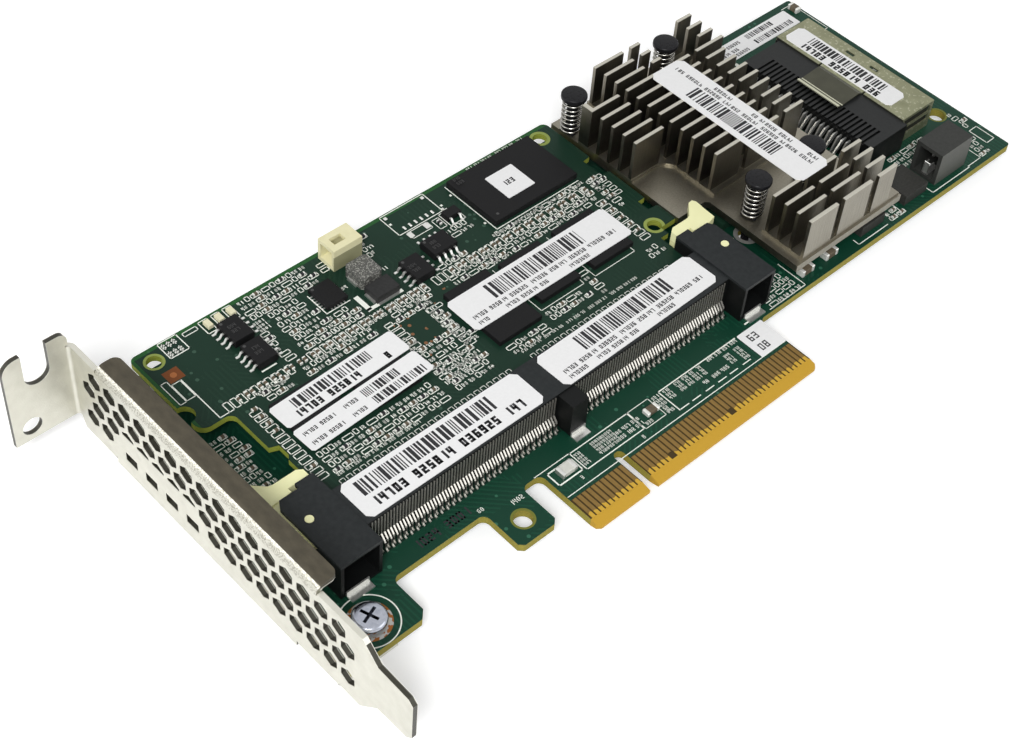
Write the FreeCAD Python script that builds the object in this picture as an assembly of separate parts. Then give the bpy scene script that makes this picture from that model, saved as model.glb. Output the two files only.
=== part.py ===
"""Low-profile storage controller card with a plug-in memory module.

Frame, in millimetres: the origin is the centre of the key notch on the edge of the contact tongue, in the
plane of the board's component side. +X runs from the bracket to the far end, +Y from the contacts to the top
edge, and +Z out of the component side.
"""
import FreeCAD, Part
import math
import os

V = FreeCAD.Vector

# --- main board ------------------------------------------------------------------------------------------
BOARD_T = 1.57
BOARD_LEFT = -57.15
BOARD_RIGHT = 110.5
BOARD_TOP = 68.9
BOARD_CORNER_R = 0.6
SHOULDER_Y = 13.1            # lower edge of the board above the connector
SHOULDER_R = 1.3             # inner corners beside the tongue and the tab
HEEL_Y = 4.9                 # lower edge of the foot beside the bracket
HEEL_RIGHT = -42.25
TAB_LEFT = -23.9             # retention tab before the contact tongue
TAB_RIGHT = -16.2
TAB_Y = 4.8
TONGUE_LEFT = -12.15
TONGUE_RIGHT = 39.15
TONGUE_CHAMFER = 0.6
KEY_HALF = 0.95              # half width of the key notch
KEY_DEPTH = 8.65
BEVEL_LENGTH = 1.8
BEVEL_DEPTH = 0.45
MOUNT_HOLE_R = 1.6
TAB_HOLE = (-20.0, 8.6)
FAR_HOLE = (106.1, 27.2)

# --- edge contacts ---------------------------------------------------------------------------------------
CONTACT_PITCH = 1.0
CONTACT_W = 0.7
CONTACT_T = 0.08
CONTACT_TOP = 6.3
FIRST_CONTACT = 1.5          # distance from the notch centre to the nearest contact
CONTACTS_LEFT = 11
CONTACTS_RIGHT = 38
SENSE_CONTACTS = (6.5, 20.5)  # short presence contacts
SENSE_START = 3.1

# --- bracket ---------------------------------------------------------------------------------------------
SHEET = 0.9
BEND_R = 0.6                 # inner radius of every fold
FOLD_R = BEND_R + SHEET      # outer radius of every fold
BRACKET_X = -59.05           # outer face of the plate
PLATE_HIGH = 16.3
PLATE_WIDTH = 18.42
TIP_Y = -10.5
NECK_Y = -3.4
TIP_LOW = 2.9
TIP_WIDTH = 10.19
FLANGE_Y = 68.7              # outer face of the flange
FLANGE_FAR_X = -70.3
FLANGE_LOW = 1.0
FLANGE_HIGH = 19.2
SLOT_X = -64.8               # centre of the screw slot
SLOT_R = 2.2
SLOT_BOTTOM = 12.1
FLANGE_HOLE = (-67.1, 3.8)
FLANGE_HOLE_R = 1.7
FLAP_TOP = 17.3
FLAP_REACH = 4.0
FLAP_FROM = 9.5
FLAP_TO = 61.0
TAB_SPANS = ((5.0, 14.0), (58.4, 66.4))
TAB_REACH = 12.6
HEX_FLATS = 2.9
HEX_PITCH = 3.8
HEX_ROW = 3.29
HEX_TOP_Z = 13.2
HEX_FIRST_Y = 2.9
WINDOW_Y = (38.6, 43.7, 48.8, 53.9)
WINDOW = (2.9, 1.9)
WINDOW_Z = 2.0

# --- bracket screws --------------------------------------------------------------------------------------
SCREW_X = BRACKET_X + TAB_REACH - 3.05
SCREW_SPOTS = ((SCREW_X, 9.6), (SCREW_X, 62.7))
SCREW_R = 1.45
SCREW_HEAD_R = 2.75
SCREW_HEAD_H = 1.7
SCREW_LENGTH = 4.0
SCREW_PLAY = 0.05

# --- processor, heatsink and its pins --------------------------------------------------------------------
PROCESSOR = (50.0, 31.8, 26.0)   # corner and side
PROCESSOR_H = 3.4
PAD_T = 0.4
PAD_INSET = 2.0
SINK_BASE_T = 1.4
SINK_STEP = 0.5              # raised part of the base under the fins
SINK_TOP = 14.1
SINK_LEFT = 42.0
SINK_MID = 49.3
SINK_STEP_X = 51.0
SINK_RIGHT = 76.3
SINK_TOE_RIGHT = 77.6
SINK_FRONT = 14.6
SINK_REAR = 67.6
FIN_T = 0.65
FIN_ROWS = 20
FIN_FIRST_Y = SINK_FRONT + 0.4
FIN_PITCH = (SINK_REAR - FIN_T - 0.555 - FIN_FIRST_Y) / (FIN_ROWS - 1)
SINK_ELBOW_Y = FIN_FIRST_Y + 8 * FIN_PITCH - 0.94
SINK_TOE_Y = FIN_FIRST_Y + 2 * FIN_PITCH + 1.09
COLUMN_0 = (SINK_LEFT, SINK_LEFT + 7.0)
COLUMN_1 = (SINK_STEP_X, SINK_STEP_X + 7.2)
COLUMN_2 = (COLUMN_1[1] + 1.7, COLUMN_1[1] + 9.1)
COLUMN_3 = (COLUMN_2[1] + 1.8, SINK_RIGHT - 2.3)
BACK_FINS = (62.5, 72.6)     # where the short fins beside the rear pin end and begin again
PIN_FRONT_Y = FIN_FIRST_Y + 5 * FIN_PITCH - 0.025
PIN_REAR_Y = SINK_REAR - 3.3
PIN_SPOTS = ((43.6, PIN_REAR_Y), (67.2, PIN_REAR_Y), (53.0, PIN_FRONT_Y), (67.2, PIN_FRONT_Y))
PIN_SHAFT = 1.6             # side of the square shaft
PIN_PLAY = 0.12
PIN_HEAD_R = 2.4
PIN_HEAD_T = 1.0
PIN_HEAD_TOP = 13.6
PIN_BARB_R = 1.95
PIN_TIP = 2.7
SPRING_R = 1.85              # to the centre of the wire
SPRING_WIRE = 0.4
SPRING_TURNS = 5

# --- memory module ---------------------------------------------------------------------------------------
MODULE_Z = 3.5
MODULE_T = 1.2
MODULE_TOP = 69.0
MODULE_LEFT = -48.9
MODULE_RIGHT = 41.5
MODULE_EDGE = 21.0
NECK_LEFT = -43.4
NECK_RIGHT = 37.6
NECK_TOP = 30.5
MODULE_HOLES = ((-46.0, 66.1), (37.9, 66.3), (37.9, 37.5))
MODULE_HOLE_R = 1.3
MODULE_KEY = (-2.0, 1.2, 3.0)    # centre, width, depth

# --- module socket ---------------------------------------------------------------------------------------
BLOCK_H = 7.8
BLOCK_FRONT = 15.1
BLOCK_REAR = 30.2
BLOCK_STEP = 31.2
LEFT_BLOCK = (-50.2, -42.4)
RIGHT_BLOCK = (36.2, 43.6)
BODY_FRONT = 18.9
BODY_REAR = 27.0
BODY_LOW = 0.4
BODY_HIGH = 7.45
SLOT_PLAY = 0.1
CHANNEL = (20.4, 1.8, 7.0)       # front wall, floor and roof of a latch channel
CHANNEL_INNER = 5.4              # channel's depth from the outer face
CAVITY = (4.6, 0.6, 0.7)         # depth, wall and roof of the front pockets
POST = (-3.5, 0.0)
POST_FRONT = 15.5
LEG_W = 0.3
LEG_T = 0.25
LEG_HIGH = 7.0
LEG_KNEE = 1.3
LEFT_LEGS = 63
RIGHT_LEGS = 59
LEG_MARGIN = 1.1             # from an end block to the middle of its nearest leg
FOOT_NEAR = 17.9
FOOT_FAR = 17.1

# --- latches ---------------------------------------------------------------------------------------------
PIVOT_Y = 24.8
LEFT_PIVOT = -48.1
RIGHT_PIVOT = 41.5
PIVOT_R = 0.7
PIVOT_PLAY = 0.08
LATCH_PLAY = 0.06
LEFT_REACH = 5.3
RIGHT_REACH = 4.6
HOOK_Y = (31.5, 33.5)
HOOK_Z = (3.3, 7.2)
THUMB_Z = 5.6

# --- cable connector -------------------------------------------------------------------------------------
CAGE_REAR = 92.8
CAGE_MOUTH = 102.2
CAGE_LOW_Y = 26.6
CAGE_HIGH_Y = 57.9
CAGE_H = 6.2
CAGE_T = 0.3
SHELL_DEPTH = 10.4
SHELL_REAR = CAGE_REAR - SHELL_DEPTH     # black housing behind the cage
CHEEK = (0.05, 0.6, 101.3)   # play beside the cage, thickness and end of the housing's two cheeks
SHELL_LOW_Y = 25.5
SHELL_HIGH_Y = 57.0
SHELL_H = 5.9
RIBS = 26
RIB_PITCH = 1.04
RIB_FIRST_Y = 27.4
RIB_LENGTH = 5.0
RIB_GROOVE = 0.5
TONGUE_END = 97.0
TAIL_REACH = 4.6

# --- battery header --------------------------------------------------------------------------------------
HEADER = (89.8, 98.8, 15.1, 20.9)
HEADER_H = 7.0
HEADER_WALL = 0.8
HEADER_BACK = 1.4
HEADER_PIN = 0.5

LABEL_T = 0.1

MODULE_FACE = MODULE_Z + MODULE_T
DRAM_H = 1.0
SINK_Z = PROCESSOR_H + PAD_T
SINK_FACE = SINK_Z + SINK_BASE_T
STEP_FACE = SINK_FACE + SINK_STEP
PLATE_LOW = PLATE_HIGH - PLATE_WIDTH


def placed(a, b, axis, level):
    """The point (a, b) of the plane at a level along the axis: x takes (y, z), y takes (x, z), z takes (x, y)."""
    if axis == "x":
        return V(level, a, b)
    if axis == "y":
        return V(a, level, b)
    return V(a, b, level)


def corner_arc(before, corner, after, radius):
    """Start, middle and end of the arc that rounds a corner."""
    to_before = (before - corner).normalize()
    to_after = (after - corner).normalize()
    half = to_before.getAngle(to_after) / 2
    reach = radius / math.tan(half)
    middle = corner + (to_before + to_after).normalize() * (radius / math.sin(half) - radius)
    return corner + to_before * reach, middle, corner + to_after * reach


def prism(points, axis, low, high):
    """Solid with the outline through points (a, b) or (a, b, corner radius), from low to high along the axis."""
    corners = [placed(p[0], p[1], axis, low) for p in points]
    edges = []
    start = None
    last = None
    for i, point in enumerate(points):
        here = corners[i]
        if len(point) == 3:
            first, middle, here = corner_arc(corners[i - 1], here, corners[(i + 1) % len(points)], point[2])
            arc = Part.Arc(first, middle, here).toShape()
        else:
            first = here
            arc = None
        if last is None:
            start = first
        elif last.distanceToPoint(first) > 1e-6:
            edges.append(Part.makeLine(last, first))
        if arc:
            edges.append(arc)
        last = here
    if last.distanceToPoint(start) > 1e-6:
        edges.append(Part.makeLine(last, start))
    face = Part.Face(Part.Wire(edges))
    return face.extrude(placed(0, 0, axis, high - low))


def clipped(x, y, cut_off):
    """Corners of a rectangle with each corner cut off at 45 degrees."""
    return [(x[0] + cut_off, y[0]), (x[1] - cut_off, y[0]), (x[1], y[0] + cut_off), (x[1], y[1] - cut_off),
            (x[1] - cut_off, y[1]), (x[0] + cut_off, y[1]), (x[0], y[1] - cut_off), (x[0], y[0] + cut_off)]


def box(x, y, z):
    """Box between the pairs of limits along X, Y and Z."""
    return Part.makeBox(x[1] - x[0], y[1] - y[0], z[1] - z[0], V(x[0], y[0], z[0]))


def rod(x, y, radius, low, high):
    """Upright cylinder."""
    return Part.makeCylinder(radius, high - low, V(x, y, low))


def turned(profile, x, y):
    """Solid turned about the vertical line through (x, y) from a profile of (radius, z)."""
    wire = Part.makePolygon([V(r, 0, z) for r, z in profile + profile[:1]])
    solid = Part.Face(wire).revolve(V(0, 0, 0), V(0, 0, 1), 360)
    solid.translate(V(x, y, 0))
    return solid


def fused(shapes):
    """One solid from shapes that share volume or faces."""
    return shapes[0].fuse(shapes[1:]).removeSplitter()


def cut(shape, tools):
    return shape.cut(Part.makeCompound(tools))


def group(shapes):
    """Separate solids of one kind, kept in one node."""
    return Part.makeCompound(shapes)


# --- main board and its contacts -------------------------------------------------------------------------

def main_board():
    """Fibreglass board with the tongue, its key notch and bevels, the tab and the foot at the bracket."""
    half = KEY_HALF
    outline = [
        (BOARD_LEFT, HEEL_Y), (HEEL_RIGHT - 1.25, HEEL_Y),
        (HEEL_RIGHT, HEEL_Y + 1.25), (HEEL_RIGHT, SHOULDER_Y, SHOULDER_R),
        (TAB_LEFT, SHOULDER_Y, SHOULDER_R), (TAB_LEFT, TAB_Y + 0.8), (TAB_LEFT + 0.8, TAB_Y),
        (TAB_RIGHT - 0.8, TAB_Y), (TAB_RIGHT, TAB_Y + 0.8), (TAB_RIGHT, SHOULDER_Y, SHOULDER_R),
        (TONGUE_LEFT, SHOULDER_Y, SHOULDER_R), (TONGUE_LEFT, TONGUE_CHAMFER),
        (TONGUE_LEFT + TONGUE_CHAMFER, 0.0), (-half, 0.0),
        (-half, KEY_DEPTH, half - 0.01), (half, KEY_DEPTH, half - 0.01), (half, 0.0),
        (TONGUE_RIGHT - TONGUE_CHAMFER, 0.0), (TONGUE_RIGHT, TONGUE_CHAMFER),
        (TONGUE_RIGHT, SHOULDER_Y, SHOULDER_R), (BOARD_RIGHT, SHOULDER_Y, BOARD_CORNER_R),
        (BOARD_RIGHT, BOARD_TOP, BOARD_CORNER_R), (BOARD_LEFT, BOARD_TOP),
    ]
    board = prism(outline, "z", -BOARD_T, 0.0)
    rise = BEVEL_DEPTH / BEVEL_LENGTH
    wedge = [(-1.0, -BEVEL_DEPTH - rise), (BEVEL_LENGTH + 1.0, rise), (-1.0, rise)]
    mirrored = [(y, -BOARD_T - z) for y, z in wedge]
    tools = [prism(w, "x", TONGUE_LEFT - 1, TONGUE_RIGHT + 1) for w in (wedge, mirrored)]
    holes = [TAB_HOLE, FAR_HOLE] + list(SCREW_SPOTS) + list(PIN_SPOTS)
    tools += [rod(x, y, MOUNT_HOLE_R, -BOARD_T - 1, 1) for x, y in holes]
    return cut(board, tools)


def edge_contacts():
    """Plated contacts on both faces of the tongue, from the bevel up."""
    left = [-FIRST_CONTACT - (CONTACTS_LEFT - 1 - i) * CONTACT_PITCH for i in range(CONTACTS_LEFT)]
    right = [FIRST_CONTACT + i * CONTACT_PITCH for i in range(CONTACTS_RIGHT)]
    strips = []
    for face, z in (("front", (0.0, CONTACT_T)), ("back", (-BOARD_T - CONTACT_T, -BOARD_T))):
        for x in left + right:
            short = x in SENSE_CONTACTS if face == "front" else x == left[0]
            low = SENSE_START if short else BEVEL_LENGTH
            strips.append(box((x - CONTACT_W / 2, x + CONTACT_W / 2), (low, CONTACT_TOP), z))
    return group(strips)


# --- bracket ---------------------------------------------------------------------------------------------

def hexagon(y, z):
    """Corners of a ventilation hole, with a point up and a point down."""
    radius = HEX_FLATS / math.sqrt(3)
    return [(y + radius * math.sin(k * math.pi / 3), z + radius * math.cos(k * math.pi / 3))
            for k in range(6)]


def bracket_openings():
    """Ventilation holes in four staggered rows, with room left for the lamp windows."""
    radius = HEX_FLATS / math.sqrt(3)
    outlines = []
    for row in range(4):
        z = HEX_TOP_Z - row * HEX_ROW
        count = 17 if row % 2 else 16
        first = HEX_FIRST_Y if row % 2 else HEX_FIRST_Y + HEX_PITCH / 2
        for i in range(count):
            y = first + i * HEX_PITCH
            if row < 2 or i <= 8 or i >= count - 2:
                outlines.append(hexagon(y, z))
            elif row == 2:
                side = HEX_FLATS / 2
                outlines.append([(y - side, z + 0.3), (y + side, z + 0.3), (y + side, z + radius / 2),
                                 (y, z + radius), (y - side, z + radius / 2)])
    tools = [prism(o, "x", BRACKET_X - 1, BRACKET_X + SHEET + 1) for o in outlines]
    for y in WINDOW_Y:
        tools.append(box((BRACKET_X - 1, BRACKET_X + SHEET + 1), (y - WINDOW[0] / 2, y + WINDOW[0] / 2),
                         (WINDOW_Z - WINDOW[1] / 2, WINDOW_Z + WINDOW[1] / 2)))
    return tools


def bracket_plate():
    """Flat part of the bracket, from the tip to the fold of the flange."""
    fold = -BOARD_T - SHEET + FOLD_R
    flap_fold = FLAP_TOP - FOLD_R
    relief = 0.3
    near, far = TAB_SPANS
    top = TIP_LOW + TIP_WIDTH
    outline = [
        (TIP_Y, TIP_LOW + 1.2), (TIP_Y + 1.0, TIP_LOW + 0.3), (NECK_Y, TIP_LOW), (0.3, fold), (near[1] + relief, fold),
        (near[1] + relief, PLATE_LOW), (far[0] - relief, PLATE_LOW), (far[0] - relief, fold),
        (far[1], fold), (FLANGE_Y - FOLD_R, FLANGE_LOW), (FLANGE_Y - FOLD_R, PLATE_HIGH),
        (FLAP_TO + relief, PLATE_HIGH), (FLAP_TO + relief, flap_fold), (FLAP_FROM - relief, flap_fold),
        (FLAP_FROM - relief, PLATE_HIGH), (-0.2, PLATE_HIGH), (NECK_Y, top),
        (TIP_Y + 1.0, top - 0.3), (TIP_Y, top - 1.2),
    ]
    return cut(prism(outline, "x", BRACKET_X, BRACKET_X + SHEET), bracket_openings())


def folded(outer, inner, axis, low, high, flat):
    """Strip with one fold: outer and inner are the fold's corners, flat the two ends of the strip."""
    (end_a, end_b) = flat
    return prism([end_a[0], outer + (FOLD_R,), end_b[0], end_b[1], inner + (BEND_R,), end_a[1]],
                 axis, low, high)


def bracket():
    """Bracket folded from one sheet: plate, flange with its screw slot, stiffener and two screw tabs."""
    outer = BRACKET_X
    inner = BRACKET_X + SHEET
    pieces = [bracket_plate()]
    low = -BOARD_T - SHEET
    for first, last in TAB_SPANS:
        bend = folded((outer, low), (inner, low + SHEET), "y", first, last,
                      (((outer, low + FOLD_R), (inner, low + FOLD_R)),
                       ((outer + FOLD_R, low), (outer + FOLD_R, low + SHEET))))
        flat = prism([(outer + FOLD_R, first), (outer + TAB_REACH - 1.5, first), (outer + TAB_REACH, first + 1.5),
                      (outer + TAB_REACH, last - 1.5), (outer + TAB_REACH - 1.5, last),
                      (outer + FOLD_R, last)], "z", low, low + SHEET)
        pieces += [bend, flat]
    high = FLAP_TOP
    pieces.append(folded((outer, high), (inner, high - SHEET), "y", FLAP_FROM, FLAP_TO,
                         (((outer, high - FOLD_R), (inner, high - FOLD_R)),
                          ((outer + FOLD_R, high), (outer + FOLD_R, high - SHEET)))))
    pieces.append(prism([(outer + FOLD_R, FLAP_FROM), (outer + FLAP_REACH, FLAP_FROM, 1.3),
                         (outer + FLAP_REACH, FLAP_TO, 1.3), (outer + FOLD_R, FLAP_TO)],
                        "z", high - SHEET, high))
    edge = FLANGE_Y
    pieces.append(folded((inner, edge), (outer, edge - SHEET), "z", FLANGE_LOW, PLATE_HIGH,
                         (((inner, edge - FOLD_R), (outer, edge - FOLD_R)),
                          ((inner - FOLD_R, edge), (inner - FOLD_R, edge - SHEET)))))
    slot_low = SLOT_X - SLOT_R
    slot_high = SLOT_X + SLOT_R
    flange = prism([
        (inner - FOLD_R, FLANGE_LOW), (FLANGE_FAR_X, FLANGE_LOW), (FLANGE_FAR_X, FLANGE_HIGH, 2.4),
        (slot_low, FLANGE_HIGH), (slot_low, SLOT_BOTTOM, SLOT_R - 0.01),
        (slot_high, SLOT_BOTTOM, SLOT_R - 0.01), (slot_high, FLANGE_HIGH),
        (outer - 0.1, FLANGE_HIGH, 1.5), (outer - 0.1, PLATE_HIGH + 0.3), (inner - FOLD_R, PLATE_HIGH + 0.3),
    ], "y", edge - SHEET, edge)
    hole = Part.makeCylinder(FLANGE_HOLE_R, SHEET + 2, V(FLANGE_HOLE[0], edge - SHEET - 1, FLANGE_HOLE[1]),
                             V(0, 1, 0))
    pieces.append(cut(flange, [hole]))
    sheet = fused(pieces)
    return cut(sheet, [rod(x, y, SCREW_R + SCREW_PLAY, low - 1, low + SHEET + 0.5) for x, y in SCREW_SPOTS])


def bracket_screws():
    """Pan-head screws down through the board into the bracket's tabs."""
    screws = []
    for x, y in SCREW_SPOTS:
        screws.append(turned([
            (0, SCREW_HEAD_H), (SCREW_HEAD_R, SCREW_HEAD_H), (SCREW_HEAD_R, 0), (SCREW_R, 0),
            (SCREW_R, -SCREW_LENGTH), (0, -SCREW_LENGTH)], x, y))
    return group(screws)


def status_leds():
    """Side-looking indicator lamps at the board's edge, one behind each window."""
    lamps = []
    for y in WINDOW_Y:
        foot = box((BOARD_LEFT + 0.4, BOARD_LEFT + 3.0), (y - 1.2, y + 1.2), (0, 2.9))
        lens = box((BOARD_LEFT - 0.6, BOARD_LEFT + 0.4), (y - 0.8, y + 0.8), (WINDOW_Z - 0.7, WINDOW_Z + 0.7))
        lamps.append(fused([foot, lens]))
    return group(lamps)


# --- processor, heatsink and its fixing ------------------------------------------------------------------

def raid_processor():
    """Ball-grid processor: a laminate with a smaller moulded cap."""
    x, y, side = PROCESSOR
    inset = 2.0
    base = box((x, x + side), (y, y + side), (0, 1.6))
    cap = box((x + inset, x + side - inset), (y + inset, y + side - inset), (1.6, PROCESSOR_H))
    return fused([base, cap])


def thermal_pad():
    x, y, side = PROCESSOR
    inset = PAD_INSET + 0.5
    return box((x + inset, x + side - inset), (y + inset, y + side - inset), (PROCESSOR_H, SINK_Z))


def fin_runs():
    """Every fin as (x from, x to, row), row by row from the contacts' side."""
    runs = []
    for row in range(FIN_ROWS):
        if row in (4, 5, 6, 7):
            continue
        runs.append(COLUMN_1 + (row,))
        if row > 16:
            runs.append((COLUMN_2[0] + 0.3, BACK_FINS[0], row))
            runs.append((BACK_FINS[1], SINK_RIGHT, row))
            continue
        runs.append(COLUMN_2 + (row,))
        runs.append((COLUMN_3[0], SINK_RIGHT if row == 16 else COLUMN_3[1], row))
        if row > 11:
            runs.append(COLUMN_0 + (row,))
    return runs


def heatsink():
    """Cross-cut heatsink: an L-shaped base, raised where the fins stand, with clear ground for its pins."""
    base = prism([
        (SINK_LEFT, SINK_ELBOW_Y), (SINK_MID - 0.7, SINK_ELBOW_Y), (SINK_MID, SINK_ELBOW_Y - 0.7), (SINK_MID, SINK_FRONT),
        (SINK_TOE_RIGHT, SINK_FRONT), (SINK_TOE_RIGHT, SINK_TOE_Y), (SINK_RIGHT, SINK_TOE_Y + 1.3),
        (SINK_RIGHT, SINK_REAR), (SINK_LEFT, SINK_REAR),
    ], "z", SINK_Z, SINK_FACE)
    front_edge = FIN_FIRST_Y
    front_step = box((SINK_STEP_X, SINK_TOE_RIGHT - 0.3),
                     (front_edge, front_edge + 3 * FIN_PITCH + 1.2), (SINK_FACE, STEP_FACE))
    arm_y = FIN_FIRST_Y + 12 * FIN_PITCH - 0.3
    rear_y = FIN_FIRST_Y + 8 * FIN_PITCH - 1.0
    clear_y = FIN_FIRST_Y + 16 * FIN_PITCH + 2.0
    step_from = BACK_FINS[0] + 0.4
    step_to = BACK_FINS[1] - 0.4
    rear_step = prism([
        (SINK_STEP_X, rear_y), (SINK_RIGHT, rear_y), (SINK_RIGHT, SINK_REAR), (step_to, SINK_REAR),
        (step_to, clear_y), (step_from, clear_y), (step_from, SINK_REAR), (SINK_STEP_X, SINK_REAR),
        (SINK_STEP_X, clear_y), (SINK_LEFT, clear_y), (SINK_LEFT, arm_y), (SINK_STEP_X, arm_y, 2.5),
    ], "z", SINK_FACE, STEP_FACE)
    fins = []
    for x0, x1, row in fin_runs():
        y = FIN_FIRST_Y + row * FIN_PITCH
        fins.append(box((x0, x1), (y, y + FIN_T), (STEP_FACE, SINK_TOP)))
    stub_y = FIN_FIRST_Y + 16 * FIN_PITCH + FIN_T
    fins.append(box((SINK_LEFT, SINK_LEFT + 0.9), (stub_y, stub_y + 1.8), (SINK_FACE, SINK_TOP)))
    sink = fused([base, front_step, rear_step] + fins)
    bore = PIN_SHAFT / math.sqrt(2) + PIN_PLAY
    tools = [rod(x, y, bore, SINK_Z - 1, STEP_FACE + 1) for x, y in PIN_SPOTS]
    return cut(sink, tools)


def push_pins():
    """Plastic pins through heatsink and board, each ending in an arrow-shaped barb under the board."""
    pins = []
    barb = -BOARD_T - 0.05
    for x, y in PIN_SPOTS:
        half = PIN_SHAFT / 2
        head = rod(x, y, PIN_HEAD_R, PIN_HEAD_TOP - PIN_HEAD_T, PIN_HEAD_TOP)
        profile = [(x - half, PIN_HEAD_TOP - PIN_HEAD_T), (x - half, barb), (x - PIN_BARB_R, barb),
                   (x - 0.6, barb - PIN_TIP), (x + 0.6, barb - PIN_TIP), (x + PIN_BARB_R, barb),
                   (x + half, barb), (x + half, PIN_HEAD_TOP - PIN_HEAD_T)]
        pins.append(fused([head, prism(profile, "y", y - half, y + half)]))
    return group(pins)


def coil(x, y, low, high):
    """Round coil of wire from low to high, as one closed skin of small flats."""
    steps = 7 * SPRING_TURNS
    half = SPRING_WIRE / 2
    section = [(half, 0), (-half, half), (-half, -half)]
    sides = len(section)
    rings = []
    for i in range(steps + 1):
        angle = 2 * math.pi * SPRING_TURNS * i / steps
        z = low + half + (high - low - SPRING_WIRE) * i / steps
        rings.append([V(x + (SPRING_R + r) * math.cos(angle), y + (SPRING_R + r) * math.sin(angle), z + up)
                      for r, up in section])
    faces = []
    for ring, following in zip(rings, rings[1:]):
        for k in range(sides):
            a, b = ring[k], ring[(k + 1) % sides]
            c, d = following[(k + 1) % sides], following[k]
            faces.append(Part.Face(Part.makePolygon([a, b, c, a])))
            faces.append(Part.Face(Part.makePolygon([a, c, d, a])))
    for ring in (rings[0], rings[-1]):
        faces.append(Part.Face(Part.makePolygon(ring + ring[:1])))
    solid = Part.Solid(Part.Shell(faces))
    if solid.Volume < 0:
        solid.reverse()
    return solid


def push_pin_springs():
    """Coil springs between the heatsink's base and the heads of the pins."""
    return group([coil(x, y, SINK_FACE, PIN_HEAD_TOP - PIN_HEAD_T) for x, y in PIN_SPOTS])


# --- memory module ---------------------------------------------------------------------------------------

def module_board():
    """Module's board: notched sides for the latches, a narrower contact edge with its key."""
    key_x, key_w, key_depth = MODULE_KEY
    outline = [
        (NECK_LEFT, MODULE_EDGE), (key_x - key_w / 2, MODULE_EDGE), (key_x - key_w / 2, MODULE_EDGE + key_depth),
        (key_x + key_w / 2, MODULE_EDGE + key_depth), (key_x + key_w / 2, MODULE_EDGE),
        (NECK_RIGHT, MODULE_EDGE), (NECK_RIGHT, NECK_TOP), (36.5, NECK_TOP), (36.5, 34.6),
        (38.4, 34.6), (38.4, 36.4), (42.0, 36.4), (42.0, 40.8), (40.0, 41.0), (40.0, 43.5),
        (41.6, 43.5), (41.6, 52.3), (39.8, 52.5), (39.8, 57.0), (MODULE_RIGHT, 57.2),
        (MODULE_RIGHT, MODULE_TOP, 1.2), (MODULE_LEFT, MODULE_TOP, 1.2), (MODULE_LEFT, 50.0, 2.0),
        (-43.0, 50.0, 1.4), (-43.0, 41.0), (-41.5, 40.4), (-41.5, 38.1), (-42.1, 37.3),
        (-42.1, NECK_TOP), (NECK_LEFT, NECK_TOP),
    ]
    board = prism(outline, "z", MODULE_Z, MODULE_FACE)
    tools = [rod(x, y, MODULE_HOLE_R, MODULE_Z - 1, MODULE_FACE + 1) for x, y in MODULE_HOLES]
    tools.append(rod(MODULE_LEFT, 54.3, 1.8, MODULE_Z - 1, MODULE_FACE + 1))
    return cut(board, tools)


def chip(x, y, low, height):
    return box(x, y, (low, low + height))


def module_memory_chips():
    """Five memory chips in a row above the socket, flush with each other under the labels."""
    spots = (
        ((-38.3, -28.9), (36.3, 47.0)), ((-25.7, -16.3), (36.3, 47.0)), ((-1.9, 7.4), (33.8, 47.6)),
        ((9.8, 18.8), (36.3, 47.0)), ((22.1, 31.3), (36.3, 47.0)),
    )
    return group([chip(x, y, MODULE_FACE, DRAM_H) for x, y in spots])


def module_flash_chip():
    return chip((16.4, 35.7), (54.6, 67.4), MODULE_FACE, 1.2)


def module_small_chips():
    """Small-outline chips, low enough on their leads to rest on the board."""
    spots = (((-34.5, -30.8), (60.3, 65.3)), ((-34.5, -30.8), (54.2, 59.2)),
             ((2.8, 7.8), (55.0, 58.8)), ((-3.1, 0.7), (52.5, 57.5)))
    return group([chip(x, y, MODULE_FACE, 1.5) for x, y in spots])


def module_power_chip():
    return chip((-18.2, -14.0), (57.4, 62.5), MODULE_FACE, 0.9)


def module_transistor():
    """Small transistor package."""
    return chip((10.7, 13.6), (60.6, 62.4), MODULE_FACE, 1.1)


def module_inductor():
    """Moulded power inductor with chamfered corners."""
    return prism([(-11.0, 57.7), (-10.6, 57.3), (-7.0, 57.3), (-6.6, 57.7), (-6.6, 61.6), (-7.0, 62.0),
                  (-10.6, 62.0), (-11.0, 61.6)], "z", MODULE_FACE, 7.1)


def module_choke():
    return chip((-11.0, -6.3), (53.4, 56.8), MODULE_FACE, 1.5)


def module_header():
    """Small wire-to-board header, open to the left, with a window in its roof."""
    low = MODULE_FACE
    body = box((-11.8, -5.8), (63.6, 67.8), (low, low + 4.6))
    mouth = box((-13, -7.0), (64.2, 67.2), (low + 0.8, low + 3.9))
    window = box((-10.6, -8.2), (64.9, 66.5), (low + 3, low + 6))
    return cut(body, [mouth, window])


def module_header_pins():
    """Pins of the small header, held in its back wall, with tails behind it."""
    low = MODULE_FACE
    pins = []
    for i in range(2):
        y = 65.1 + i * 1.2
        pins.append(box((-10.4, -7.0), (y - 0.2, y + 0.2), (low + 2.1, low + 2.5)))
        pins.append(box((-5.8, -4.9), (y - 0.2, y + 0.2), (low, low + 0.4)))
    return group(pins)


def module_lamps():
    """Three tall light-coloured components near the top left."""
    return group([chip((x - 0.5, x + 0.5), (66.2, 67.8), MODULE_FACE, 0.7) for x in (-34.9, -32.7, -30.4)])


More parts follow.
